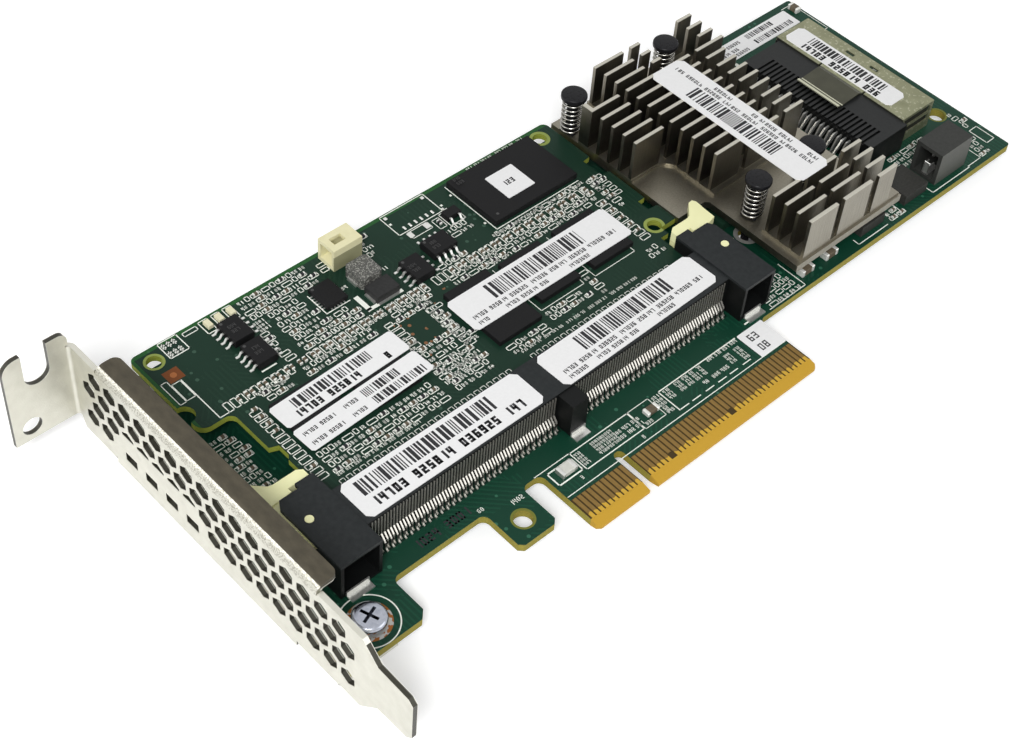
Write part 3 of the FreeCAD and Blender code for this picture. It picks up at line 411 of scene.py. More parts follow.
gold = Finish("contact_gold")
rub = gold.noise(0.5, 3.0, gold.stretched(3, 0.4, 1))
tip = gold.y < 1.9 + gold.noise(1.2, 1.0, gold.stretched(1, 0, 0)) * 1.6
plating = gold.mix(rub, (0.17, 0.100, 0.026), (0.30, 0.185, 0.048))
paint("edge_contacts", gold.surface({
    "Base Color": gold.mix(tip, plating, (0.60, 0.37, 0.042)),
    "Metallic": 0.6,
    "Roughness": 0.30 + rub * 0.2,
}))

# === Bracket =============================================================================================
# Low-profile bracket pressed and folded from bright plated steel sheet, with rows of six-sided ventilation
# holes and four lamp windows. The stiffening flap is dull and brown, and its fold is bright and grainy.

zinc = Finish("bracket_zinc")
mottle = zinc.noise(2.2, 4.0)
grain = zinc.noise(0.22, 3.0)
# The plate's cut edges and the walls of its holes are painted near black and less metallic: partly the bare
# steel of the cut, mostly painted shade that darkens the holes.
raw_edge_and_shade = zinc.within(zinc.x, -58.98, -58.22) * (zinc.y < 67.0) * (zinc.z < 15.6)
raw_edge_and_shade = raw_edge_and_shade + zinc.within(zinc.y, 67.87, 68.63) * (zinc.x < -59.6)
flap = (zinc.z > 16.55) * (zinc.x > -58.3) * zinc.within(zinc.y, 9.0, 61.5)
fold = (zinc.z > 15.6) * zinc.within(zinc.x, -60.0, -58.3) * zinc.within(zinc.y, 9.4, 61.2)
worn = zinc.noise(1.1, 5.0, zinc.stretched(1, 0.5, 1))
colour = zinc.mix(mottle, (0.70, 0.69, 0.615), (0.56, 0.55, 0.48))
colour = zinc.mix(raw_edge_and_shade, colour, (0.040, 0.038, 0.028))
colour = zinc.mix(fold * (grain > 0.52) * 0.6, colour, (0.22, 0.20, 0.15))
brown = zinc.mix(worn, (0.030, 0.026, 0.017), (0.105, 0.090, 0.060))
paint("bracket", zinc.surface({
    "Base Color": zinc.mix(flap, colour, brown),
    "Metallic": 0.85 - flap * 0.45 - raw_edge_and_shade * 0.4,
    "Roughness": 0.28 + mottle * 0.16 + flap * 0.2,
    "Normal": zinc.bump(grain + worn, 0.03),
}))

# === Bracket screws ======================================================================================
# Pan-head screws of bright plated steel, cold headed with a cross recess. Each goes down through a plated
# hole in the board and bites into a tab of the bracket.


def applied(piece, kind, **settings):
    """Adds a modifier to the piece, sets it and applies it."""
    step = piece.modifiers.new(kind.lower(), kind)
    for name, value in settings.items():
        setattr(step, name, value)
    deselect()
    piece.select_set(True)
    bpy.context.view_layer.objects.active = piece
    bpy.ops.object.modifier_apply(modifier=step.name)
    return piece


def block(x, y, z, edge=0.0, steps=1):
    """Block between limits along X, Y and Z, its edges rounded off, in millimetres."""
    deselect()
    centre = [(low + high) / 2000 for low, high in (x, y, z)]
    size = [(high - low) / 1000 for low, high in (x, y, z)]
    bpy.ops.mesh.primitive_cube_add(size=1.0, location=centre, scale=size)
    bpy.ops.object.transform_apply(location=True, rotation=True, scale=True)
    piece = bpy.context.object
    if edge:
        applied(piece, "BEVEL", width=edge / 1000, segments=steps, limit_method="ANGLE")
    return piece


def joined(pieces):
    deselect()
    for piece in pieces:
        piece.select_set(True)
    bpy.context.view_layer.objects.active = pieces[0]
    bpy.ops.object.join()
    return bpy.context.object


deselect()
bpy.ops.mesh.primitive_cylinder_add(vertices=40, radius=0.00275, depth=0.0017, location=(0, 0, 0.00085))
head = bpy.context.object
bpy.ops.object.transform_apply(location=True, rotation=True, scale=True)
applied(head, "BEVEL", width=0.00075, segments=5, limit_method="ANGLE")
for turn in (20, 110):
    arm = block((-1.55, 1.55), (-0.26, 0.26), (0.75, 2.4))
    arm.data.transform(at(0, 0, 0, turn))
    applied(head, "BOOLEAN", operation="DIFFERENCE", object=arm, solver="EXACT")
    bpy.data.objects.remove(arm)
deselect()
bpy.ops.mesh.primitive_cylinder_add(vertices=24, radius=0.00143, depth=0.0040, location=(0, 0, -0.0020))
shank = bpy.context.object
bpy.ops.object.transform_apply(location=True, rotation=True, scale=True)
screw = repeated(joined([head, shank]), [at(x, y) for x, y in SCREW_SPOTS])
deselect()
screw.select_set(True)
bpy.ops.object.shade_smooth_by_angle(angle=math.radians(35))
bright = Finish("screw_steel")
cloud = bright.noise(0.6, 3.0)
# Painted shade: the floor of the cross recess is darkened.
recess_shade = (bright.z < 1.45) * bright.rings(SCREW_SPOTS, -1.0, 1.75)
colour = bright.mix(cloud, (0.30, 0.32, 0.38), (0.50, 0.52, 0.58))
steel = bright.surface({
    "Base Color": bright.mix(recess_shade, colour, (0.06, 0.065, 0.08)),
    "Metallic": 1.0,
    "Roughness": 0.18 + cloud * 0.1,
    "Normal": bright.bump(cloud, 0.006),
})
settled(screw, "screw_heads", [steel], stands_for=["bracket_screws"])

# === Indicator lamps =====================================================================================
# Side-looking lamps of smoky clear epoxy, moulded round their leads and soldered along the board's edge, one
# behind each window of the bracket.

paint("status_leds", plain("lamp_epoxy", (0.030, 0.032, 0.026), (0.060, 0.062, 0.050), 0.5, 0.25))

# === Processor and thermal pad ===========================================================================
# Ball-grid processor, a laminate with a moulded cap, soldered flat to the board. A soft pad of grey filled
# rubber lies on it and carries its heat to the sink.

paint("raid_processor", plain("processor_green", (0.008, 0.030, 0.018), (0.015, 0.045, 0.026), 1.0, 0.5))
paint("thermal_pad", plain("pad_grey", (0.25, 0.26, 0.28), (0.33, 0.34, 0.36), 0.5, 0.8))

# === Heatsink ============================================================================================
# Aluminium extrusion, sawn across into rows of upright fins and blasted to a warm grey. Fine saw lines run
# down each fin. The fin tops carry a painted highlight, and painted shade darkens the fins towards the base
# behind the front row. Four sprung pins hold it down.

sink = Finish("sink_aluminium")
saw = sink.noise(0.30, 3.0, sink.stretched(1.0, 1.0, 0.05))
blast = sink.noise(0.22, 4.0)
stain = sink.noise(5.0, 3.0)
# Painted highlight: the fin tops are mixed towards a bright grey.
lit_top = sink.z > 14.0
# Painted shade: the fins behind the front row darken downward towards the base.
fin_gap_shade = sink.node("MapRange", {"clamp": True}, {0: sink.z, 1: 13.5, 2: 7.5, 3: 0.0, 4: 0.85})
fin_gap_shade = fin_gap_shade * (sink.y > 15.6) * (sink.z > 5.85)
colour = sink.mix(stain, (0.26, 0.24, 0.195), (0.40, 0.375, 0.31))
colour = sink.mix(saw * 0.6, colour, (0.13, 0.12, 0.095))
colour = sink.mix(fin_gap_shade, colour, (0.045, 0.041, 0.033))
paint("heatsink", sink.surface({
    "Base Color": sink.mix(lit_top * 0.7, colour, (0.62, 0.60, 0.52)),
    "Metallic": 1.0,
    "Roughness": 0.26 + blast * 0.16,
    "Normal": sink.bump(saw + blast * 0.6, 0.04),
}))

# === Push pins and their springs =========================================================================
# Black nylon pins, moulded with domed heads and arrow barbs that snap through the board. A coil of round
# steel wire stands on the sink's base round each shaft and pushes its head up.

nylon = plain("pin_nylon", (0.007, 0.007, 0.008), (0.013, 0.013, 0.015), 0.6, 0.22, 0.0, 0.004)
deselect()
bpy.ops.mesh.primitive_cylinder_add(vertices=40, radius=0.0024, depth=0.0011, location=(0, 0, 0.01304))
pin = bpy.context.object
bpy.ops.object.transform_apply(location=True, rotation=True, scale=True)
applied(pin, "BEVEL", width=0.00035, segments=4, limit_method="ANGLE")
parts = [pin, block((-0.8, 0.8), (-0.8, 0.8), (-1.6, 12.6), 0.12, 2)]
barb = block((-1.9, 1.9), (-0.75, 0.75), (-4.25, -1.62))
bpy.ops.object.mode_set(mode="EDIT")
bpy.ops.mesh.select_all(action="DESELECT")
shape = bmesh.from_edit_mesh(barb.data)
for corner in shape.verts:
    corner.select_set(corner.co.z < -0.004)
shape.select_flush(True)
bmesh.update_edit_mesh(barb.data)
bpy.ops.transform.resize(value=(0.32, 1.0, 1.0))
bpy.ops.object.mode_set(mode="OBJECT")
parts.append(barb)
parts.append(block((-1.5, 1.5), (-1.5, 1.5), (5.2, 5.5), 0.4, 2))
pins = repeated(joined(parts), [at(x, y, 0, 12) for x, y in PIN_SPOTS])
deselect()
pins.select_set(True)
bpy.ops.object.shade_smooth_by_angle(angle=math.radians(30))
settled(pins, "pin_heads", [nylon], stands_for=["push_pins"])

deselect()
bpy.ops.mesh.primitive_circle_add(vertices=8, radius=0.00021, location=(0.00182, 0, 0.00545),
                                  rotation=(math.pi / 2, 0, 0))
spring = bpy.context.object
bpy.ops.object.transform_apply(location=True, rotation=True, scale=True)
applied(spring, "SCREW", angle=2 * math.pi, screw_offset=0.00098, iterations=7, steps=22, render_steps=22,
        axis="Z", use_normal_calculate=True)
bpy.ops.object.mode_set(mode="EDIT")
bpy.ops.mesh.select_all(action="SELECT")
bpy.ops.mesh.normals_make_consistent(inside=False)
bpy.ops.object.mode_set(mode="OBJECT")
springs = repeated(spring, [at(x, y, 0, 60) for x, y in PIN_SPOTS])
deselect()
springs.select_set(True)
bpy.ops.object.shade_smooth_by_angle(angle=math.radians(50))
wire = plain("spring_wire", (0.24, 0.235, 0.215), (0.42, 0.41, 0.38), 0.4, 0.14, 1.0, 0.002)
settled(springs, "pin_coils", [wire], stands_for=["push_pin_springs"])

# === Memory module's board ===============================================================================
# Thinner dark green laminate with a bright yellow-green routed edge. Its print crowds round every part, and
# a square of bare copper and three plated holes stand near its corners.

MODULE_FACE = 4.7
module, colour, side, tracks = solder_mask(
    "module_mask", (0.0085, 0.030, 0.018), (0.013, 0.040, 0.024), (0.40, 0.46, 0.070), 3.53, 4.67)
rim = module.ring(-46.0, 66.1, 1.25, 1.75)
rim = rim + module.ring(37.9, 66.3, 1.25, 1.9) + module.ring(37.9, 37.5, 1.25, 1.9)
colour = module.mix(rim * (1 - side), colour, (0.27, 0.33, 0.085))
glow = (module.y > 68.2) + (module.x < -48.3)
colour = module.mix(glow * (1 - side) * 0.45, colour, (0.03, 0.16, 0.03))
copper = module.within(module.x, -46.7, -43.9) * module.within(module.y, 60.7, 63.3)
colour = module.mix(copper * (1 - side), colour, (0.17, 0.055, 0.018))
colour = module.mix(module.ring(-45.3, 62.0, -1.0, 0.55) * (1 - side), colour, (0.36, 0.13, 0.045))
spot = module.node("TexVoronoi", {}, {"Vector": module.stretched(1, 1, 0), "Scale": 0.75}, "Distance")
patch = module.within(module.x, -12.2, -8.2) * module.within(module.y, 38.0, 49.0)
patch = patch + module.within(module.x, -3.8, 4.0) * module.within(module.y, 47.6, 49.4)
colour = module.mix((spot < 0.24) * patch * (1 - side), colour, (0.22, 0.105, 0.050))
paint("module_board", module.surface({
    "Base Color": colour,
    "Roughness": 0.38 + side * 0.2,
    "Specular IOR Level": 0.14,
    "Normal": module.bump(tracks * (1 - side), 0.02),
}))

# === Module's memory and other chips =====================================================================
# Moulded black epoxy packages: five memory chips on solder balls, a large controller, four small-outline
# chips on gull-wing leads, a square power chip on pads and a small transistor.

mould = plain("chip_mould", (0.0035, 0.0035, 0.0040), (0.0120, 0.0120, 0.0125), 0.22, 0.5, 0.0, 0.010)
legs_tin = plain("lead_tin", (0.60, 0.60, 0.57), (0.82, 0.82, 0.79), 0.3, 0.24, 0.85, 0.004)
for node in ("module_memory_chips", "module_flash_chip", "module_small_chips", "module_power_chip",
             "module_transistor"):
    paint(node, mould)


def strip(path, width, thick):
    """Bent strip of sheet metal along points (y, z) at x = 0, its width along X, in millimetres."""
    deselect()
    bpy.ops.mesh.primitive_plane_add(size=0.001)
    piece = bpy.context.object
    bpy.ops.object.mode_set(mode="EDIT")
    bpy.ops.mesh.select_all(action="DESELECT")
    shape = bmesh.from_edit_mesh(piece.data)
    for corner in shape.verts:
        corner.select_set(corner.co.y > 0)
    shape.select_flush(True)
    bmesh.update_edit_mesh(piece.data)
    bpy.ops.mesh.delete(type="VERT")
    bpy.ops.mesh.select_all(action="SELECT")
    bpy.ops.transform.resize(value=(width, 1.0, 1.0))
    bpy.ops.transform.translate(value=(0.0, path[0][0] / 1000 + 0.0005, path[0][1] / 1000))
    for here, there in zip(path, path[1:]):
        step = (0.0, (there[0] - here[0]) / 1000, (there[1] - here[1]) / 1000)
        bpy.ops.mesh.extrude_region_move(TRANSFORM_OT_translate={"value": step})
    bpy.ops.object.mode_set(mode="OBJECT")
    return applied(piece, "SOLIDIFY", thickness=thick / 1000, offset=0.0, use_even_offset=True)


lead = strip([(0.1, 0.75), (-0.35, 0.72), (-0.75, 0.12), (-1.35, 0.10)], 0.42, 0.16)
places = []
for y in (61.1, 62.3, 63.5, 64.7, 54.9, 56.1, 57.3, 58.5):
    places += [at(-34.5, y, MODULE_FACE, -90), at(-30.8, y, MODULE_FACE, 90)]
for x in (3.4, 4.7, 6.0, 7.2):
    places += [at(x, 55.0, MODULE_FACE), at(x, 58.8, MODULE_FACE, 180)]
for y in (53.1, 54.4, 55.6, 56.9):
    places += [at(-3.1, y, MODULE_FACE, -90), at(0.7, y, MODULE_FACE, 90)]
for x, y, turn in ((11.2, 60.6, 0), (13.1, 60.6, 0), (12.1, 62.4, 180)):
    places.append(at(x, y, MODULE_FACE, turn, 0.9))
settled(repeated(lead, places), "small_chip_leads", [legs_tin])

pad = block((-0.14, 0.14), (-0.35, 0.35), (0.02, 0.14), 0.04)
places = [at(-18.35, y, MODULE_FACE, 90) for y in (58.2, 58.85, 59.5, 60.15, 60.8, 61.45)]
places += [at(x, 57.25, MODULE_FACE) for x in (-17.4, -16.75, -16.1, -15.45, -14.8)]
places += [at(-13.85, y, MODULE_FACE, 90) for y in (58.2, 58.85, 59.5, 60.15, 60.8, 61.45)]
places += [at(4.0 + 1.25 * i, 64.15, MODULE_FACE, 0, 1.4, 1.2) for i in range(6)]
places += [at(3.7, 62.2, MODULE_FACE, 0, 3.6, 1.9), at(7.3, 62.2, MODULE_FACE, 0, 3.6, 1.9)]
places += [at(2.9, 67.9, MODULE_FACE, 0, 2.2, 0.9), at(11.2, 67.9, MODULE_FACE, 0, 2.2, 0.9)]
settled(repeated(pad, places), "bare_pads", [legs_tin])

dots = []
for x, y, z in ((-34.0, 64.8, 6.21), (-34.0, 58.7, 6.21), (3.3, 58.3, 6.21), (-2.6, 57.0, 6.21),
                (17.9, 55.9, 5.91), (-17.7, 62.0, 5.61)):
    dots.append(at(x, y, z))
deselect()
bpy.ops.mesh.primitive_circle_add(vertices=16, radius=0.00028, fill_type="NGON")
MARK_GREY = plain("mould_mark", (0.055, 0.055, 0.055), (0.085, 0.085, 0.085), 0.3, 0.6)
settled(repeated(bpy.context.object, dots), "first_pin_marks", [MARK_GREY])
faint = []
for x, y in ((-33.6, 62.0), (-33.6, 56.0), (3.6, 56.0), (-2.6, 54.0), (17.2, 65.2)):
    for row in range(2):
        faint += digits(str(chance.randint(100, 999)), x, y + row * 1.1, 0.7, 0.14)
printed("mould_print", faint, MODULE_FACE + 1.5, MARK_GREY)

# === Module's print ======================================================================================
# White print on the module: a numbered block in the corner, and outlines with small figures packed between
# the parts. All figures are plain.

bars = outline(-43.7, -39.9, 64.9, 68.9, 0.2)
bars += outline(-39.3, -36.5, 67.3, 68.3, 0.16)
for x0, x1 in ((-36.0, -34.1), (-33.5, -31.8), (-31.3, -29.5)):
    bars += outline(x0, x1, 65.4, 68.6, 0.18)
bars += outline(-48.2, -46.9, 56.2, 61.6, 0.16) + outline(-46.9, -45.1, 56.3, 60.5, 0.16)
bars += [(-45.1, -44.9, 50.4, 60.5), (-45.0, -43.2, 50.3, 50.5), (-34.4, -31.5, 53.6, 53.9)]
for y in (60.4, 61.3, 62.2):
    bars += digits("8301", -29.3, y, 0.7, 0.22)
filled = []
for x0, x1, y0, y1 in (
        (-29.2, -14.2, 63.3, 67.6), (-26.6, -19.2, 52.8, 62.6), (-13.6, -11.9, 58.0, 67.4),
        (-5.4, -3.4, 58.5, 62.8), (-37.6, -31.5, 48.2, 50.0), (-29.4, -14.2, 48.2, 50.0),
        (-13.4, -4.2, 31.0, 37.0), (-6.2, -2.6, 37.4, 49.4), (-38.6, -14.6, 30.6, 35.4),
        (-13.6, -11.9, 40.4, 49.4), (1.6, 13.8, 48.4, 50.0), (8.4, 14.6, 57.0, 59.2),
        (36.2, 39.4, 44.4, 53.0), (-5.2, -2.2, 62.6, 67.4), (-1.6, 8.0, 30.8, 33.2),
        (19.0, 21.8, 31.4, 37.0), (8.2, 34.6, 47.9, 49.6), (33.6, 36.2, 48.4, 52.2),
        (-11.4, -2.6, 48.0, 49.8), (-20.2, -14.2, 52.8, 56.2), (14.6, 35.6, 52.6, 53.4),
        (1.4, 8.6, 52.7, 53.9), (-30.2, -27.6, 52.8, 59.6), (-38.0, -30.6, 50.0, 50.2),
        (31.6, 36.2, 32.0, 34.4), (-14.4, -5.4, 33.0, 41.0), (8.6, 18.6, 32.4, 34.4)):
    more, spots = crowded(x0, x1, y0, y1)
    bars += more
    filled += spots
for x0, x1 in ((-43.3, -29.6), (-26.9, -15.0), (-9.8, -2.0), (-0.6, 35.8)):
    x = x0
    while x < x1 - 1.0:
        bars += outline(x, x + 1.12, 50.3, 52.4, 0.17)
        x += 1.33
bars += figure_row(-15.0, 50.6, 3, 0.8) + figure_row(-15.0, 51.6, 3, 0.8)
bars += [(-18.8, -18.6, 57.0, 62.1), (-18.8, -13.8, 56.9, 57.1)]
bars += [(-13.2, -12.3, 53.2, 57.0), (-13.2, -5.7, 53.0, 53.7)]
bars += outline(2.1, 12.0, 63.2, 68.8, 0.18) + outline(3.5, 8.0, 61.2, 63.0, 0.16)
bars += outline(10.5, 14.0, 59.5, 63.0, 0.16) + outline(8.6, 10.2, 60.0, 62.6, 0.14)
bars += [(16.0, 16.2, 54.0, 67.5), (16.0, 35.6, 53.9, 54.1)]
for x, y in ((2.7, 66.3), (15.5, 65.3), (15.5, 56.4), (12.6, 64.4)):
    bars.append((x - 0.22, x + 0.22, y - 0.22, y + 0.22))
bars += figure_row(14.4, 52.9, 12, 0.66) + figure_row(22.0, 68.1, 8, 0.62)
for y in (47.4, 48.7, 50.0, 51.3, 52.5):
    for x in (36.3, 38.3):
        bars += outline(x, x + 1.5, y - 0.4, y + 0.5, 0.15)
for x0, x1 in ((8.7, 18.7), (21.2, 30.8)):
    bars += outline(x0, x1, 35.2, 47.2, 0.14, "lrb")
for x, y0, y1 in ((-41.3, 31.0, 48.5), (-13.4, 42.0, 47.5), (-6.0, 37.0, 49.0), (33.6, 36.0, 48.0)):
    y = y0
    while y < y1:
        bars += outline(x, x + 2.1, y, y + 1.1, 0.16)
        y += 1.35
bars += figure_row(0.0, 30.4, 16, 0.6) + figure_row(-38.4, 30.0, 10, 0.6)
for i in range(26):
    bars += outline(-39.0 + 1.36 * i, -38.0 + 1.36 * i, 28.5, 29.4, 0.12)
    if i < 24:
        bars += outline(0.4 + 1.36 * i, 1.4 + 1.36 * i, 28.5, 29.4, 0.12)
bars += digits("888", -43.4, 65.2, 1.3, 0.2) + digits("888", -43.4, 67.1, 1.3, 0.2)
printed("module_print", bars, MODULE_FACE, INK_WHITE)

# === Small two-ended parts ===============================================================================
# Ceramic capacitors and resistors soldered flat: a tan or black body, fired as one block, between two bright
# tinned ends. A larger white fuse of the same build lies just above the contact tongue.

CERAMIC = plain("ceramic_tan", (0.055, 0.045, 0.032), (0.20, 0.160, 0.110), 0.7, 0.4, 0.0, 0.004)
SOLDERED = plain("soldered_ends", (0.62, 0.62, 0.58), (0.90, 0.90, 0.86), 0.3, 0.3, 0.35, 0.004)
BLACK_CHIP = plain("resistor_black", (0.014, 0.014, 0.016), (0.030, 0.030, 0.033), 0.3, 0.35, 0.0, 0.004)

# Each place is (x, y, turn). The rows round the memory chips come first.
laid = [(x + 0.3, 51.4, 90.0) for x in (-41 + 2.6 * i for i in range(30)) if not -4.4 < x < 1.4]
laid += [(-40.1, y + 0.27, 0.0) for y in (42.6, 44.4, 46.2, 48.0, 33.6)]
laid += [(34.7, y + 0.27, 0.0) for y in (38.2, 40.0, 42.2, 44.4, 46.6)]
laid += [(x + 1.6, 51.4, 90.0) for x, y, turn in laid[:26]]
# What already stands on the module's face, leads and hole rings too: (x from, x to, y from, y to).
covered = (
    (-38.3, -28.9, 36.3, 47.0), (-25.7, -16.3, 36.3, 47.0), (-1.9, 7.4, 33.8, 47.6),
    (9.8, 18.8, 36.3, 47.0), (22.1, 31.3, 36.3, 47.0), (16.4, 35.7, 54.6, 67.4),
    (-35.5, -29.8, 54.2, 65.3), (1.8, 8.8, 55.0, 58.8), (-4.1, 1.7, 52.5, 57.5),
    (-18.9, -13.3, 57.0, 62.9), (10.2, 14.1, 59.9, 63.1), (-11.8, -4.9, 53.0, 67.9),
    (36.3, 39.5, 64.7, 67.9), (36.3, 39.5, 35.9, 39.1),
)
upper = []
for x, y, turn in filled + [(9.4, 61.3, 90), (37.1, 48.7, 0), (39.2, 51.4, 0), (37.1, 51.3, 0)]:
    blocked = any(x0 - 0.6 < x < x1 + 0.6 and y0 - 0.4 < y < y1 + 0.4 for x0, x1, y0, y1 in covered)
    crossed = any(abs(x - other[0]) < 1.12 and abs(y - other[1]) < 0.86 for other in laid + upper)
    if not blocked and not crossed:
        upper.append((x, y, turn))


def end_caps():
    """Tinned ends of one two-ended part that lies along X, half a millimetre high."""
    return joined([block((-0.52, -0.28), (-0.275, 0.275), (0.0, 0.5), 0.05),
                   block((0.28, 0.52), (-0.275, 0.275), (0.0, 0.5), 0.05)])


body = block((-0.29, 0.29), (-0.26, 0.26), (0.03, 0.48), 0.03)
ends = end_caps()
tan = [at(x, y, MODULE_FACE, turn) for x, y, turn in laid + upper[::2]]
dark = [at(x, y, MODULE_FACE, turn) for x, y, turn in upper[1::2]]
deselect()
body.select_set(True)
bpy.context.view_layer.objects.active = body
bpy.ops.object.duplicate(linked=False)
second = bpy.context.object
settled(repeated(body, tan), "module_ceramics", [CERAMIC], stands_for=["module_capacitors"])
settled(repeated(second, dark), "module_resistors", [BLACK_CHIP])
settled(repeated(ends, tan + dark), "module_part_ends", [SOLDERED])

big = []
for x0, x1, y0, y1, high in ((9.0, 11.8, 10.2, 11.7, 0.8), (52.4, 55.6, 14.9, 16.5, 1.4),
                             (58.8, 62.0, 14.9, 16.5, 1.4), (78.0, 79.2, 17.6, 19.6, 0.9),
                             (79.8, 80.7, 22.2, 23.8, 0.9), (108.2, 109.6, 64.8, 67.2, 1.2)):
    lift = Matrix.Diagonal((1.0, 1.0, high / 0.5, 1.0))
    turn = 0 if x1 - x0 > y1 - y0 else 90
    long, short = sorted((x1 - x0, y1 - y0), reverse=True)
    big.append(at((x0 + x1) / 2, (y0 + y1) / 2, 0.0, turn, long / 1.04, short / 0.55) @ lift)
big += [at(x, y, 0.0) for x, y, turn in board_parts]
body = block((-0.29, 0.29), (-0.26, 0.26), (0.01, 0.485), 0.03)
ends = end_caps()
settled(repeated(body, big), "board_ceramics", [CERAMIC], stands_for=["board_capacitors"])
settled(repeated(ends, big), "board_part_ends", [SOLDERED])

body = block((-9.75, -7.45), (10.05, 11.95), (0.02, 0.97), 0.12, 2)
caps = joined([block((-10.2, -9.5), (10.0, 12.0), (0.0, 1.0), 0.1, 2),
               block((-7.7, -7.0), (10.0, 12.0), (0.0, 1.0), 0.1, 2)])
glass = plain("fuse_ceramic", (0.55, 0.55, 0.50), (0.70, 0.70, 0.64), 0.5, 0.35)
settled(body, "fuse_body", [glass], stands_for=["board_fuse"])
settled(caps, "fuse_ends", [legs_tin])

# === Module's header, lamps, inductor and choke ==========================================================
# A cream moulded header with two tinned pins, three cream lamps in a row, an inductor pressed from speckled
# grey iron powder and a low dark choke, all soldered to the module's face.

cream = Finish("header_cream")
cloud = cream.noise(1.2, 3.0)
low_part = (cream.z < 7.9) * (cream.y < 63.75)
colour = cream.mix(cloud, (0.72, 0.68, 0.41), (0.84, 0.80, 0.52))
paint("module_header", cream.surface({
    "Base Color": cream.mix(low_part * 0.75, colour, (0.165, 0.168, 0.084)),
    "Roughness": 0.4 + cloud * 0.15,
    "Normal": cream.bump(cloud, 0.01),
}))
for node in ("module_header_pins", "battery_header_pins"):
    paint(node, legs_tin)
paint("module_lamps", plain("lamp_cream", (0.70, 0.66, 0.44), (0.84, 0.81, 0.60), 0.4, 0.4))
speckled = Finish("inductor_grey")
speck = speckled.noise(0.28, 2.0)
paint("module_inductor", speckled.surface({
    "Base Color": speckled.mix((speck > 0.56) * 0.8, (0.070, 0.070, 0.064), (0.32, 0.32, 0.29)),
    "Roughness": 0.5 + speck * 0.2,
    "Normal": speckled.bump(speck, 0.03),
}))
paint("module_choke", plain("choke_dark", (0.018, 0.018, 0.018), (0.036, 0.036, 0.036), 0.5, 0.45))
ferrite = plain("ferrite_dark", (0.020, 0.020, 0.018), (0.046, 0.046, 0.042), 0.45, 0.5, 0.0, 0.03)
paint("board_inductors", ferrite)
rims = joined([
    block((-10.9, -6.4), (52.95, 53.5), (MODULE_FACE, 4.85)),
    block((-11.4, -11.0), (53.9, 56.3), (MODULE_FACE, 5.0)),
    block((-6.3, -5.9), (53.9, 56.3), (MODULE_FACE, 5.0)),
    block((-11.3, -10.95), (58.6, 60.9), (MODULE_FACE, 5.3)),
    block((-6.65, -6.3), (58.6, 60.9), (MODULE_FACE, 5.3)),
])
settled(rims, "inductor_ends", [legs_tin])

# === Module socket =======================================================================================
# Moulded in black glass-filled resin: two end blocks with their latch channels, and a slotted body between
# them that takes the module's edge. Its legs and straps, which follow, are soldered to the board.

resin = Finish("socket_resin")
cloud = resin.noise(0.8, 3.0)
fibre = resin.noise(0.16, 2.0, resin.stretched(0.4, 1, 1))
# Painted shade: below its top the housing is painted near black, and only the top keeps the resin's colour.
lit_top = resin.z > 7.3
colour = resin.mix(cloud, (0.012, 0.014, 0.015), (0.028, 0.031, 0.032))
paint("socket_housing", resin.surface({
    "Base Color": resin.mix(lit_top, (0.0045, 0.0050, 0.0050), colour),
    "Roughness": 0.40 + cloud * 0.15,
    "Specular IOR Level": 0.14,
    "Normal": resin.bump(fibre, 0.008),
}))

# === Socket's legs and hold-downs ========================================================================
# Tinned bronze legs that run down the front wall, bend out at a slant and drop onto flat feet, near and far
# by turns. Wider straps hold the two blocks and the post.

bronze = Finish("leg_tin")
drawn = bronze.noise(0.3, 3.0)
# Painted shade: each leg's upright drop above its foot is darkened, and its upper part on the wall is darker
# too.
drop_shade = bronze.within(bronze.z, 0.72, 1.5)
colour = bronze.mix(drawn, (0.52, 0.50, 0.44), (0.80, 0.78, 0.72))
colour = bronze.mix(drop_shade * 0.92, colour, (0.05, 0.05, 0.045))
colour = bronze.mix((bronze.z > 2.85) * 0.55, colour, (0.16, 0.155, 0.135))
leg_tin = bronze.surface({
    "Base Color": colour,
    "Metallic": 0.7,
    "Roughness": 0.24 + drawn * 0.1,
    "Normal": bronze.bump(drawn, 0.003),
})
near = strip([(18.86, 2.8), (18.1, 1.85), (18.02, 1.5), (18.0, 0.35), (17.9, 0.14), (17.55, 0.12)], 0.27, 0.2)
far = strip([(18.86, 2.8), (18.1, 1.85), (17.9, 1.5), (17.6, 0.4), (17.45, 0.15), (17.15, 0.12)], 0.27, 0.2)
wall = strip([(18.80, 7.0), (18.80, 2.9)], 0.20, 0.16)
spots = []
for first, last, count in ((-41.3, -4.1, 63), (0.3, 35.1, 59)):
    for i in range(count):
        spots.append((first + (last - first) * i / (count - 1), i % 2))
short_spots = [at(x, 0.0) for x, odd in spots if not odd]
long_spots = [at(x, 0.0) for x, odd in spots if odd]
parts = [repeated(near, short_spots), repeated(far, long_spots), repeated(wall, short_spots + long_spots)]
settled(joined(parts), "socket_legs", [leg_tin], stands_for=["socket_contacts"])
paint("socket_hold_downs", legs_tin)

# === Latches =============================================================================================
# Ivory nylon levers, each moulded in one with the short pins that turn in its end block. A hook holds the
# module down, and a thumb piece pushes the lever outward.

ivory = Finish("latch_resin")
cloud = ivory.noise(2.4, 3.0)
low_part = ivory.z < 5.4
colour = ivory.mix(cloud, (0.86, 0.855, 0.47), (0.93, 0.925, 0.55))
latch_finish = ivory.surface({
    "Base Color": ivory.mix(low_part * 0.3, colour, (0.42, 0.41, 0.17)),
    "Roughness": 0.36 + cloud * 0.1,
    "Normal": ivory.bump(ivory.noise(0.4, 2.0), 0.006),
})
paint("left_latch", latch_finish)
paint("right_latch", latch_finish)
